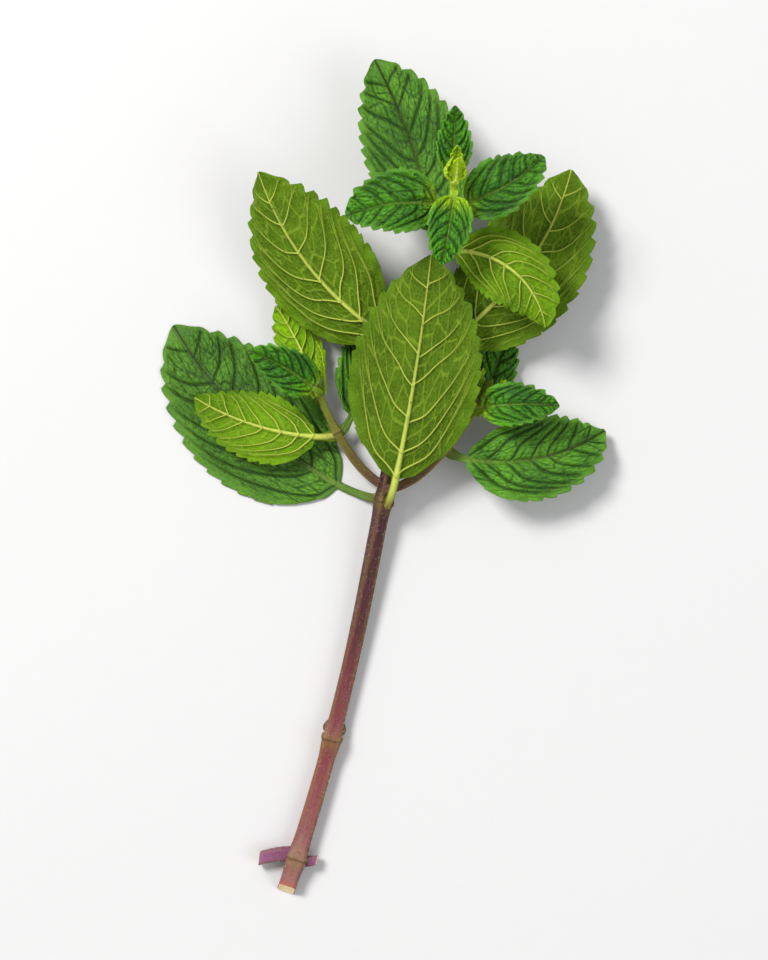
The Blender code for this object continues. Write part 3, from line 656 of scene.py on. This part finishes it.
def makeStalk(name, skin):
    stalk = stalkLayout[name]
    foot = 0.0 if name == "stem" else -gap - 0.6
    top = stalk["widths"][-1][0]
    stations = set(np.round(np.arange(foot, top, stalkForm["step"]), 3))
    for place in stalk["nodes"].values():
        stations |= set(np.round(place + np.arange(-0.8, 0.81, 0.1), 3))
    s = np.array(sorted(t for t in stations if t < top) + [top])
    s = s[np.concatenate([[True], np.diff(s) > 0.05])]
    half = stalkHalf(stalk, s)
    for place in stalk["nodes"].values():
        half = half + stalkForm["ridge"] * np.exp(-(((s - place - 0.2) / stalkForm["ridgeWidth"]) ** 2)) * min(1, half.max())
    _, side, _ = pathFrame(stalk["path"], s)
    bed = bpy.data.meshes.new(name + "Path")
    bed.from_pydata((stalkCentre(stalk, s) * mm).tolist(), [(k, k + 1) for k in range(len(s) - 1)], [])
    near = np.max([np.exp(-(((s - place) / 1.5) ** 2)) for place in stalk["nodes"].values()] + [0 * s], axis=0)
    addMark(bed, "halfWidth", half * mm)
    addMark(bed, "sideWay", side)
    addMark(bed, "stalkMark", np.stack([s / top, near, s], axis=-1))
    mesh = growMesh(name, bed, stalkSweep, {"Sides": stalkForm["sides"], "Squareness": stalkForm["squareness"],
                                            "Hollow": stalkForm["hollow"], "Skin": skin})
    bpy.data.meshes.remove(bed)
    return mesh


def cutEnd(mesh, stalk, atTop):
    # slants the cut end, and sinks its pale face a little inside a rim of skin
    s = np.float64(stalk["path"]["length"] if atTop else 0.0)
    tangent, side, normal = pathFrame(stalk["path"], s)
    foot = pathPoint(stalk["path"], s)
    points = meshPoints(mesh) / mm
    along = (points - foot) @ tangent
    if atTop:
        across = (points - foot) @ side
        shift = -stalkForm["stubSlant"] * (across + stalkHalf(stalk, s)) * smooth(-2.5, 0, along)
    else:
        shift = stalkForm["cutSlant"] * ((points - foot) @ normal) * smooth(6, 0, along)
    mesh.vertices.foreach_set("co", ((points + shift[:, None] * tangent) * mm).ravel())
    mesh.materials.append(cutFace)
    bm = bmesh.new()
    bm.from_mesh(mesh)
    middle = Vector(stalkCentre(stalk, s))
    cap = [f for f in bm.faces if len(f.verts) > 4 and (f.calc_center_median() / mm - middle).length < 2.5]
    bmesh.ops.inset_region(bm, faces=cap, thickness=stalkForm["rind"] * mm, depth=0.0)
    for face in cap:
        face.material_index = 1
    inner = bmesh.ops.inset_region(bm, faces=cap, thickness=0.3 * mm, depth=-0.10 * mm)["faces"]
    for face in inner:
        face.material_index = 1
    bmesh.ops.triangulate(bm, faces=cap)
    bm.to_mesh(mesh)
    bm.free()


stalkHair = {"Hairs Per Square Metre": 4.5e6, "Length": 0.0005, "Thickness": 0.00004, "Lean": 0.7, "Seed": 4}


def dressStalks():
    for name, stalk in stalkLayout.items():
        if stalk["place"]:
            centre, outward, half = seatAt(*stalk["place"])
            start = centre + outward * (half + gap)
        else:
            start = (-18.59, -77.5, 0)
        stalk["path"] = layPath(start, stalk["bends"])
        kind = name.split("_")[-1]
        mesh = liftOffTable(makeStalk(name, {"stem": stemSkin, "shoot": shootSkin, "stub": stubSkin}[kind]))
        if kind != "shoot":
            cutEnd(mesh, stalk, kind == "stub")
        faceOutwards(mesh)
        slot = "shoot_stalk" if kind == "shoot" else "stalk"
        addPiece(name + "_skin", mesh, slot, name)
        bed = mesh.copy()
        corner = np.empty(len(bed.vertices) * 3, np.float32)
        bed.attributes["aroundMark"].data.foreach_get("vector", corner)
        corner = corner.reshape(-1, 3)
        addMark(bed, "hairShare", 0.25 + 0.75 * smooth(0.4, 0.8, np.abs(corner[:, 0] * corner[:, 1])))
        hairs = liftOffTable(growMesh(name + "_hairs", bed, hairCover, {**stalkHair, "Skin": fineHair}))
        bpy.data.meshes.remove(bed)
        addPiece(name + "_hairs", hairs, slot)
        print(name, len(mesh.polygons), "faces,", len(hairs.polygons) // 3, "hairs")


dressStalks()

budForm = {
    "places": ((1, right), (1, left), (3, right), (3, left)),  # node and azimuth
    "lift": 2.4, "size": (0.85, 0.75, 1.3), "depth": 0.9,
    "scarDrop": 0.5, "scarSize": (1.15, 0.28, 0.6),  # the scar that a fallen leaf left under its bud
}


def makeBuds():
    # each bud is two closed leaves face to face, with a scar under it at the bare node
    stalk = stalkLayout["stem"]
    for name, skin, size, above in (("buds", budScale, budForm["size"], budForm["lift"]),
                                    ("scars", scarCork, budForm["scarSize"], budForm["scarDrop"])):
        bm = bmesh.new()
        for node, azimuth in budForm["places"]:
            if name == "scars" and node != 1:
                continue
            centre, outward, half = seatAt("stem", node, azimuth, above)
            tangent = pathFrame(stalk["path"], np.float64(stalk["nodes"][node] + above))[0]
            axes = np.column_stack([np.cross(outward, tangent), outward, tangent]) * np.array(size) * mm
            place = Matrix(axes.tolist()).to_4x4()
            place.translation = (centre + outward * half * (budForm["depth"] if name == "buds" else 0.98)) * mm
            made = bmesh.ops.create_uvsphere(bm, u_segments=24, v_segments=16, radius=1)["verts"]
            for vert in made:
                x, y, z = vert.co
                if name == "buds":
                    pinch = 1 - 0.72 * max(0, z) ** 1.4
                    seam = 1 - 0.22 * math.exp(-((x / 0.16) ** 2)) * max(0, y)
                    vert.co = (x * pinch * seam, y * pinch * seam, z * (1.05 if z > 0 else 0.9))
                vert.co = place @ vert.co
        mesh = bpy.data.meshes.new("stem_" + name)
        bmesh.ops.recalc_face_normals(bm, faces=bm.faces)
        bm.to_mesh(mesh)
        bm.free()
        mesh.shade_smooth()
        mesh.materials.append(skin)
        addPiece("stem_" + name, mesh, "stalk")


makeBuds()
print("stalks made")


# Leaves

leafForm = {
    # as in the solids
    "fullness": (0.30, 0.60, 0.76), "teethFrom": 0.05, "teethTo": 0.96, "toothDepth": 0.85, "toothPeak": 0.55,
    "toothLean": 0.32, "petioleWidth": 1.5, "wave": 0.7, "fullSize": 30.0,
    # finer than the solids
    "thickness": 0.36, "edgeThin": 0.5, "tipFullness": 0.88,
    "ribHalf": (0.75, 0.75, 0.52, 0.12), "ribDepth": (0.62, 0.75, 0.62, 0.08),  # at the foot, the base, 0.1 and the tip
    "groove": 0.24,
    # along the midrib, on the long and on the short leaves: the first two are below the blade
    "veinStarts": (-0.7, -0.24, 0.02, 0.14, 0.27, 0.415, 0.565, 0.71, 0.85, 1.0, 1.25),
    "fewVeinStarts": (-0.7, -0.24, 0.03, 0.19, 0.38, 0.57, 0.75, 0.92, 1.1, 1.35),
    "veinRise": (0.21, 0.12, 0.42), "veinHalf": (0.16, 0.03),
    "veinDent": (0.09, 0.12), "veinDentWidth": 0.32,  # on the youngest and the full-grown leaves
    "crossSize": 3.3, "crossDent": 0.10, "crossEdge": 0.2, "cellSize": 1.25, "cellDent": 0.26, "cellEdge": 0.16,
    "columnStep": 0.21, "ruffle": 0.3, "bite": (0.35, 1.0),
}


def cellGaps(p, q, seed):
    # how far a place is from the edge of its cell, in a net of jittered cells
    jitter = 0.1 + 0.8 * np.random.default_rng(seed).random((64, 64, 2))
    i, j = np.floor(p).astype(int), np.floor(q).astype(int)
    spots = np.array([np.stack([a + jitter[a % 64, b % 64, 0] - p, b + jitter[a % 64, b % 64, 1] - q], axis=-1)
                      for a in (i - 1, i, i + 1) for b in (j - 1, j, j + 1)])
    nearest = np.linalg.norm(spots, axis=-1).argmin(axis=0)
    near = np.take_along_axis(spots, nearest[None, ..., None], axis=0)
    apart = spots - near
    distance = np.linalg.norm(apart, axis=-1)
    gaps = ((spots + near) / 2 * apart).sum(axis=-1) / np.maximum(distance, 1e-6)
    return np.where(distance > 1e-6, gaps, 9.0).min(axis=0)


def planLeaf(name, values, seed):
    leaf = dict(zip(leafFields, values))
    centre, outward, half = seatAt(leaf["stalk"], leaf["node"], leaf["azimuth"])
    leaf.update(name=name, seed=seed, half=leaf["width"] / 2, stalkHalf=float(half))
    marks = (0, leaf["petiole"], leaf["petiole"] + leaf["length"])
    turns = [leaf[key] for key in ("heading", "climb", "roll")]
    columns = [np.interp(marks, marks if len(t) == 3 else marks[::2], t) for t in turns]
    leaf["path"] = layPath(centre + outward * (half + gap), tuple(zip(marks, *columns)))
    age = min(1.0, leaf["length"] / leafForm["fullSize"])
    first, grown, narrowing = leafForm["fullness"]
    leaf["fullness"] = (first + age * (grown - first), narrowing)
    leaf["size"] = 0.45 + 0.55 * age
    leaf["phase"] = 1.7 * leaf["node"] + leaf["azimuth"] / 60 + leaf["length"]
    rng = np.random.default_rng(seed)
    starts = np.array(leafForm["veinStarts" if leaf["length"] > 20 else "fewVeinStarts"])
    leaf["starts"] = {sign: starts + rng.uniform(-0.022, 0.022, len(starts)) for sign in (-1, 1)}
    leaf["bite"] = {sign: rng.uniform(*leafForm["bite"], leaf["teeth"] + 1) for sign in (-1, 1)}
    return leaf


def bladeOutline(leaf, u):
    p, q = leaf["fullness"]
    widest = p / (p + q)
    u = np.clip(u, 1e-6, 1 - 1e-6)
    return (u / widest) ** p * ((1 - u) / (1 - widest)) ** q


def veinRiseAt(a):
    # how far up the blade a side vein has come at a share of the half width, and how steeply
    first, second, fourth = leafForm["veinRise"]
    return first * a + second * a ** 2 + fourth * a ** 4, first + 2 * second * a + 4 * fourth * a ** 3


def readVeins(leaf, u, x):
    # phase of the side veins, which is a whole number on a vein, and their spacing in mm
    a = np.abs(x) / leaf["half"]
    wander = 0.013 * np.sin(5.3 * a + 9 * u + leaf["seed"]) + 0.006 * np.sin(13 * a - 17 * u + 2 * leaf["seed"])
    rise, slope = veinRiseAt(a)
    start = u - rise + wander * np.minimum(1, 4 * a)
    count = np.arange(len(leaf["starts"][1]))
    phase = np.where(x < 0, *(np.interp(start, leaf["starts"][sign], count) for sign in (-1, 1)))
    width = np.interp(start, leaf["starts"][1], np.gradient(leaf["starts"][1]))
    return phase, width * leaf["length"] / np.sqrt(1 + (slope * leaf["length"] / leaf["half"]) ** 2)


def readNets(leaf, phase, x):
    # how far the nearest cross vein and the nearest line of the fine net are, in mm
    scale, halfSide = 0.3 + 0.7 * leaf["size"], 31 * (x < 0)
    way = np.hypot(x, veinRiseAt(np.abs(x) / leaf["half"])[0] * leaf["length"])  # about how far along the vein
    crossCell, cell = leafForm["crossSize"] * scale, leafForm["cellSize"] * scale
    cross = cellGaps(way / crossCell + 20, phase + 0.5 + 20 + halfSide, leaf["seed"]) * crossCell
    across = max(2.0, 0.13 * leaf["length"] / cell)
    fine = cellGaps(way / cell + 7, phase * across + 20 + halfSide, leaf["seed"] + 50) * cell
    return cross, fine


def drapeLeaf(leaf, s, x):
    # upper and lower points of the blade or petiole at distance s and x to the side, with their marks
    form, size = leafForm, leaf["size"]
    u = (s - leaf["petiole"]) / leaf["length"]
    inside = np.clip(u, 0, 1)
    tangent, side, normal = pathFrame(leaf["path"], s)
    outline = np.maximum(bladeOutline(leaf, inside) * leaf["half"], form["petioleWidth"] / 2 * size)
    v = np.clip(x / outline, -1, 1)
    bend = np.sqrt(x * x + 0.2) - math.sqrt(0.2)
    rise = bend * math.tan(math.radians(leaf["fold"])) - leaf["cup"] * x * x / leaf["half"]
    wave = np.sin(9 * inside + 2.2 * v + leaf["phase"]) * v * v * np.minimum(1, 4 * inside)
    rise = rise + form["wave"] * (2 * size - 1) * wave
    ruffle = np.sin(2 * math.pi * inside * leaf["teeth"] / 1.7 + 3 * np.sign(x)) * np.abs(v) ** 4
    rise = rise + form["ruffle"] * size * ruffle * smooth(0, 0.15, inside)

    where = (-leaf["petiole"] / leaf["length"], 0.0, 0.1, 1.0)
    ribHalf = size * np.interp(u, where, form["ribHalf"])
    ribDepth = size * np.interp(u, where, form["ribDepth"])
    dome = np.sqrt(np.clip(1 - (x / ribHalf) ** 2, 0, 1))
    thick = form["thickness"] * (0.6 + 0.4 * size) * (1 - form["edgeThin"] * np.abs(v) ** 6)
    above = thick / 2 + 0.3 * size * dome * smooth(0.06, -0.02, u)
    above = above - form["groove"] * size * np.exp(-((x / (0.55 * ribHalf)) ** 2))
    below = thick / 2 + ribDepth * dome

    middle = pathPoint(leaf["path"], s) + x[..., None] * side + rise[..., None] * normal
    lowest = middle[..., 2] - np.where(normal[..., 2] > 0, below, above) * np.abs(normal[..., 2])
    pressed = (0.03 - lowest + np.sqrt((0.03 - lowest) ** 2 + 0.04)) / 2 * (lowest < 2)

    phase, spacing = readVeins(leaf, u, x)
    cross, fine = readNets(leaf, phase, x)
    away = np.abs(phase - np.round(phase)) * spacing + 9 * smooth(1.8, 1.4, phase)
    narrow = 0.25 + 0.75 * size
    field = 1 - np.exp(-((away / (form["veinDentWidth"] * narrow)) ** 2)) * smooth(1.0, 0.75, np.abs(v))
    field = field * (1 - np.exp(-((x / (0.7 * size)) ** 2)))
    panel = 1 - np.exp(-((cross / (form["crossEdge"] * narrow)) ** 2))
    cell = 1 - np.exp(-fine / (form["cellEdge"] * narrow))
    inBlade = smooth(0.0, 0.06, u) * smooth(1.0, 0.9, u) * (1 - 0.5 * smooth(0.8, 1, np.abs(v)))
    puff = np.interp(size, (0.6, 1), form["veinDent"]) + form["crossDent"] * panel + form["cellDent"] * cell
    middle = middle + (leaf["quilt"] * size * inBlade * field * puff)[..., None] * normal
    middle[..., 2] += pressed
    return {"upper": middle + normal * above[..., None], "lower": middle - normal * below[..., None],
            "normal": normal, "u": u, "v": v, "phase": phase, "spacing": spacing,
            "cross": cross + 2 * (1 - inBlade), "fine": fine + 2 * (1 - inBlade),
            # blisterLight is painted light: high in the middle of each cell between the veins, low in the grooves
            # beside them
            "blisterLight": field * (0.3 + 0.25 * panel + 0.45 * cell),
            "rib": smooth(1.0, 0.55, np.abs(x) / ribHalf), "ribLine": smooth(0.3, 0.12, np.abs(x) / size)}


def lastTooth(leaf):
    # where the last tooth's point is: from there the blade tapers to its tip
    form = leafForm
    pitch = (form["teethTo"] - form["teethFrom"]) / leaf["teeth"]
    return form["teethTo"] - (1 - form["toothPeak"]) * pitch


def leafRows(leaf):
    # distance from the foot, and how far through its tooth a row is
    form = leafForm
    reach = gap + 0.55 * min(1.0, leaf["stalkHalf"])
    count = int(math.ceil((leaf["petiole"] + reach) / 0.45))
    rows = [(s, -1, 0.0) for s in np.linspace(-reach, leaf["petiole"], count, endpoint=False)]
    pitch = (form["teethTo"] - form["teethFrom"]) / leaf["teeth"]
    steps = max(6, round(pitch * leaf["length"] / form["columnStep"]))
    rising = max(3, round(steps * 0.58))
    shares = np.concatenate([np.linspace(0, form["toothPeak"], rising, endpoint=False),
                             np.linspace(form["toothPeak"], 1, steps - rising, endpoint=False)])
    blade = [(form["teethFrom"] * (k / 9) ** 1.7, 0, -1) for k in range(9)]
    blade += [(form["teethFrom"] + pitch * (k + t), k, t) for k in range(leaf["teeth"]) for t in shares
              if k < leaf["teeth"] - 1 or t < form["toothPeak"]]
    last = lastTooth(leaf)
    blade += [(last + (0.9985 - last) * (1 - (1 - m / 21) ** 1.5), leaf["teeth"], -2) for m in range(22)]
    return rows + [(leaf["petiole"] + u * leaf["length"], k, t) for u, k, t in blade]


def toothReach(leaf, k, t, u):
    # 1 at a tooth's point and 0 in a notch
    if k < 0:
        return 1.0
    if t == -1:
        return 1 - smooth(0.02, leafForm["teethFrom"], u)
    if t == -2:
        return 1.0
    peak = leafForm["toothPeak"]
    return math.sin(t / peak * math.pi / 2) ** 0.75 if t < peak else ((1 - t) / (1 - peak)) ** 1.1


def leafYouth(leaf):
    youth = float(1 - smooth(9, 40, leaf["length"]))
    return max(youth, 0.8) if any(key in leaf["name"] for key in youngLeaves) else youth


def makeBlade(leaf):
    form, size = leafForm, leaf["size"]
    rows = leafRows(leaf)
    s = np.array([r[0] for r in rows])
    u = (s - leaf["petiole"]) / leaf["length"]
    reach = np.array([toothReach(leaf, k, t, uu) for (_, k, t), uu in zip(rows, u)])
    tooth = np.array([max(0, k) for _, k, _ in rows])
    last = lastTooth(leaf)
    taper = np.clip((1 - u) / (1 - last), 0, 1)
    toothed = np.array([k >= 0 and t != -1 for _, k, t in rows]) * taper
    petioleHalf = form["petioleWidth"] / 2 * size
    plain = bladeOutline(leaf, np.clip(u, 0, 1)) * leaf["half"] * (1 - (1 - form["tipFullness"]) * np.sin(math.pi * taper) * (u > last))
    pitch = (form["teethTo"] - form["teethFrom"]) / leaf["teeth"] * leaf["length"]
    ribHalf = size * np.interp(u, (-leaf["petiole"] / leaf["length"], 0.0, 0.1, 1.0), form["ribHalf"])
    outer = np.linspace(0, 1, max(10, round(leaf["half"] / form["columnStep"])) + 1)[1:]
    halves = []
    for sign in (-1, 1):
        bite = np.minimum(form["toothDepth"] * size, 0.35 * plain) * leaf["bite"][sign][tooth]
        half = np.where(u < 0, petioleHalf * (1 + 0.5 * np.exp(-((s / 1.2) ** 2))), plain - bite * (1 - reach))
        floor = np.where(u > 0.5, 0.08, petioleHalf * 0.98)
        half = np.maximum(half, floor)
        inner = np.minimum(ribHalf, 0.9 * half)
        columns = np.concatenate([np.array([0.35, 0.7, 1.0])[None] * inner[:, None],
                                  inner[:, None] + (half - inner)[:, None] * outer[None]], axis=1)
        halves.append(sign * columns)
    x = np.concatenate([halves[0][:, ::-1], np.zeros((len(s), 1)), halves[1]], axis=1)
    edge = np.abs(x) / np.abs(x).max(axis=1, keepdims=True)
    lean = toothed * form["toothLean"] * pitch * reach * (1 - 0.7 * smooth(0.8, last, u))
    stations = s[:, None] + lean[:, None] * edge ** 5
    sheet = drapeLeaf(leaf, stations, x)

    rowCount, across = x.shape
    below = rowCount * across
    grid = np.arange(below).reshape(rowCount, across)
    a, b, c, d = grid[:-1, :-1].ravel(), grid[:-1, 1:].ravel(), grid[1:, 1:].ravel(), grid[1:, :-1].ravel()
    upper = np.stack([a, b, c, d], axis=-1)
    lower = np.stack([a, d, c, b], axis=-1) + below
    ring = np.concatenate([grid[0, :-1], grid[:-1, -1], grid[-1, :0:-1], grid[:0:-1, 0]])
    after = np.roll(ring, -1)
    rim = np.stack([after, ring, ring + below, after + below], axis=-1)
    faces = np.concatenate([upper, lower, rim])
    points = np.concatenate([sheet["upper"].reshape(-1, 3), sheet["lower"].reshape(-1, 3)])
    points[:, 2] = np.maximum(points[:, 2], 0)
    mesh = bpy.data.meshes.new(leaf["name"])
    mesh.from_pydata((points * mm).tolist(), [], faces.tolist())
    faceOutwards(mesh)
    mesh.shade_smooth()
    mesh.materials.append(leafUpper)
    mesh.materials.append(leafUnder)
    mesh.polygons.foreach_set("material_index", np.repeat([0, 1], [len(upper), len(lower) + len(rim)]).astype(np.int32))

    rng = np.random.default_rng(leaf["seed"] + 500)
    beat = np.sin(s[:, None] * 0.55 + rng.uniform(0, 6)) + np.sin(s[:, None] * 1.7 + rng.uniform(0, 6)) * 0.6
    dry = smooth(0.965, 1.0, edge) * leaf["dry"] * smooth(-0.4, 1.2, beat * np.sign(x + 1e-6)) * smooth(0, 0.1, u)[:, None]
    youth = leafYouth(leaf)
    # the newest leaves are yellow at the base, and the leaflets nearly all over
    tender = smooth(0.6, 0.9, youth) * smooth(5.5, 0.5, stations) * 0.8
    tender = np.maximum(tender, np.interp(leaf["length"], (6.6, 8), (0.85, 0)))
    sheets = {"bladeMark": (x + 40 * (leaf["seed"] % 7), stations, edge),
              "veinMark": (sheet["phase"], sheet["spacing"], 0.25 + 0.75 * size),
              "netMark": (sheet["cross"], sheet["fine"], tender),
              "ribMark": (sheet["rib"], sheet["blisterLight"], dry),
              "toneMark": (youth, leaf["shade"], sheet["ribLine"])}
    for name, parts in sheets.items():
        oneFace = np.stack([np.broadcast_to(p, x.shape).ravel() for p in parts], axis=-1)
        addMark(mesh, name, np.tile(oneFace, (2, 1)))
    return mesh


def makeVeins(leaf):
    # raised side veins on the underside: near the margin each bends up towards the next
    points, edges = [], []
    marks = {name: [] for name in ("halfWidth", "sideWay", "bladeMark", "veinMark", "netMark", "ribMark", "toneMark")}
    ladder = np.linspace(-0.05, 1, 240)
    youth = leafYouth(leaf)
    for sign in (-1, 1):
        for k, start in enumerate(leaf["starts"][sign]):
            if not -0.03 < start < 0.9:
                continue
            a = np.linspace(0.0, 1.0, 60)
            u = np.array([np.interp(k, readVeins(leaf, ladder, np.full(240, sign * q * leaf["half"]))[0], ladder) for q in a])
            kept = (a < 0.84 * bladeOutline(leaf, np.clip(u, 0, 1))) & (u > 0.004) & (u < 0.96)
            if kept.sum() < 6:
                continue
            share = np.linspace(0, 1, 60)
            a = a[kept][-1] * (1 - (1 - share) ** 1.5)
            phase = k + 0.7 * smooth(0.62, 1.1, share)
            u = np.array([np.interp(p, readVeins(leaf, ladder, np.full(240, sign * q * leaf["half"]))[0], ladder)
                          for p, q in zip(phase, a)])
            a = np.minimum(a, 0.86 * bladeOutline(leaf, np.clip(u, 0, 1)))
            kept = (u > 0.004) & (u < 0.96)
            u, x, share = u[kept], sign * a[kept] * leaf["half"], share[kept]
            s = leaf["petiole"] + u * leaf["length"]
            sheet = drapeLeaf(leaf, s, x)
            thick, thin = leafForm["veinHalf"]
            half = leaf["size"] * (thick + (thin - thick) * share) * (1.15 - 0.5 * max(0, start))
            path = sheet["lower"] - sheet["normal"] * (half * (0.3 - 1.0 * smooth(0.8, 1, share)))[:, None]
            path[:, 2] = np.maximum(path[:, 2], half + 0.01)
            first = len(points)
            points += path.tolist()
            edges += [(first + n, first + n + 1) for n in range(len(u) - 1)]
            one = np.ones(len(u))
            blend = 0.75 * (1 - 0.8 * share ** 2)
            for name, value in (("halfWidth", half * mm), ("sideWay", sheet["normal"]),
                                ("bladeMark", np.stack([x + 40 * (leaf["seed"] % 7), 12 * one, 0.5 * one], axis=-1)),
                                ("veinMark", np.stack([2.5 * one, 8 * one, one], axis=-1)),
                                ("netMark", np.stack([one, one, 0 * one], axis=-1)),
                                # on the veins the painted blister light is a fixed 0.8
                                ("ribMark", np.stack([blend, 0.8 * one, 0 * one], axis=-1)),
                                ("toneMark", np.stack([youth * one, leaf["shade"] * one, 0 * one], axis=-1))):
                marks[name] += value.tolist()
    bed = bpy.data.meshes.new(leaf["name"] + "Veins")
    bed.from_pydata((np.array(points) * mm).tolist(), edges, [])
    for name, values in marks.items():
        addMark(bed, name, np.array(values))
    mesh = growMesh(leaf["name"] + "_veins", bed, stalkSweep,
                    {"Sides": 7, "Squareness": 2.0, "Hollow": 0.0, "Skin": leafUnder})
    bpy.data.meshes.remove(bed)
    faceOutwards(mesh)
    return mesh


leafHair = {"Hairs Per Square Metre": 2.2e6, "Length": 0.00035, "Thickness": 0.00003, "Lean": 0.5}


def makeLeafHairs(leaf, blade):
    # on the midrib and petiole, and a few along the margin
    bed = blade.copy()
    marks = {}
    for name in ("ribMark", "bladeMark"):
        values = np.empty(len(bed.vertices) * 3, np.float32)
        bed.attributes[name].data.foreach_get("vector", values)
        marks[name] = values.reshape(-1, 3)
    share = 0.01 + 0.9 * marks["ribMark"][:, 0] + 0.5 * smooth(0.93, 1.0, marks["bladeMark"][:, 2])
    addMark(bed, "hairShare", share)
    hairs = growMesh(leaf["name"] + "_hairs", bed, hairCover, {**leafHair, "Seed": leaf["seed"], "Skin": fineHair})
    bpy.data.meshes.remove(bed)
    return liftOffTable(hairs)


def dressLeaves():
    triangles = 0
    for seed, (name, values) in enumerate({**leafLayout, **leafletLayout}.items()):
        leaf = planLeaf(name, values, seed + 11)
        young = any(key in name for key in ("leaf_6", "leaf_7", "shoot_leaf_2", "leaflet"))
        slot = "young_leaf" if young else "leaf"
        blade = makeBlade(leaf)
        addPiece(name + "_blade", blade, slot, *([name] if name in leafLayout else []))
        veins = makeVeins(leaf)
        addPiece(name + "_veins", veins, slot)
        hairs = makeLeafHairs(leaf, blade)
        addPiece(name + "_hairs", hairs, slot)
        triangles += sum(2 * len(m.polygons) for m in (blade, veins)) + len(hairs.polygons)
        print(name, len(blade.polygons), "faces,", len(hairs.polygons) // 3, "hairs")
    print("leaves made, about", triangles, "triangles")


dressLeaves()


# Table, light and camera

studio = {
    "tableSize": 5.0, "tableColour": (202, 202, 203), "tableRoughness": 0.6,
    "skyColour": (1.0, 1.0, 1.0), "skyStrength": 0.5,
    # position, size, power in watts and colour of each soft light, in metres
    "lights": {
        "softKey": ((-0.72, 0.68, 1.20), 0.48, 28.0, (1.0, 0.985, 0.96)),
        "softFill": ((1.0, -0.4, 1.10), 1.0, 8.0, (0.97, 0.99, 1.0)),
    },
    "aim": (0.0, 0.0, 0.008), "lens": 110.0, "coverage": 0.178,  # the height that the picture takes in
}


def setStage():
    material, tree, shader = newMaterial("tableTop")
    place = addNode(tree, "ShaderNodeTexCoord").outputs["Object"]
    grain = addNode(tree, "ShaderNodeTexNoise", {"Vector": place, "Scale": 260.0, "Detail": 3.0})
    pale = linearColour(*studio["tableColour"])
    tree.links.new(mixColour(tree, grain.outputs[0], pale, tuple(0.985 * c for c in pale[:3]) + (1,)),
                   shader.inputs["Base Color"])
    shader.inputs["Roughness"].default_value = studio["tableRoughness"]
    half = studio["tableSize"] / 2
    mesh = bpy.data.meshes.new("table")
    mesh.from_pydata([(-half, -half, -1e-5), (half, -half, -1e-5), (half, half, -1e-5), (-half, half, -1e-5)], [],
                     [(0, 1, 2, 3)])
    mesh.materials.append(material)
    table = bpy.data.objects.new("table", mesh)
    scene.collection.objects.link(table)
    world = bpy.data.worlds.new("studio")
    world.use_nodes = True
    sky = world.node_tree.nodes["Background"]
    sky.inputs["Color"].default_value = (*studio["skyColour"], 1)
    sky.inputs["Strength"].default_value = studio["skyStrength"]
    scene.world = world
    for name, (place, size, power, colour) in studio["lights"].items():
        lamp = bpy.data.lights.new(name, "AREA")
        lamp.size, lamp.energy, lamp.color = size, power, colour
        light = bpy.data.objects.new(name, lamp)
        scene.collection.objects.link(light)
        light.location = place
        light.rotation_euler = (Vector(studio["aim"]) - Vector(place)).to_track_quat("-Z", "Y").to_euler()
    lens = bpy.data.cameras.new("camera")
    lens.lens = studio["lens"]
    lens.sensor_fit = "AUTO"
    camera = bpy.data.objects.new("camera", lens)
    scene.collection.objects.link(camera)
    away = studio["coverage"] * studio["lens"] / 36.0
    camera.location = Vector(studio["aim"]) + Vector((0, 0, away))
    scene.camera = camera
    scene.view_settings.view_transform = "Standard"


setStage()
print("stage set")
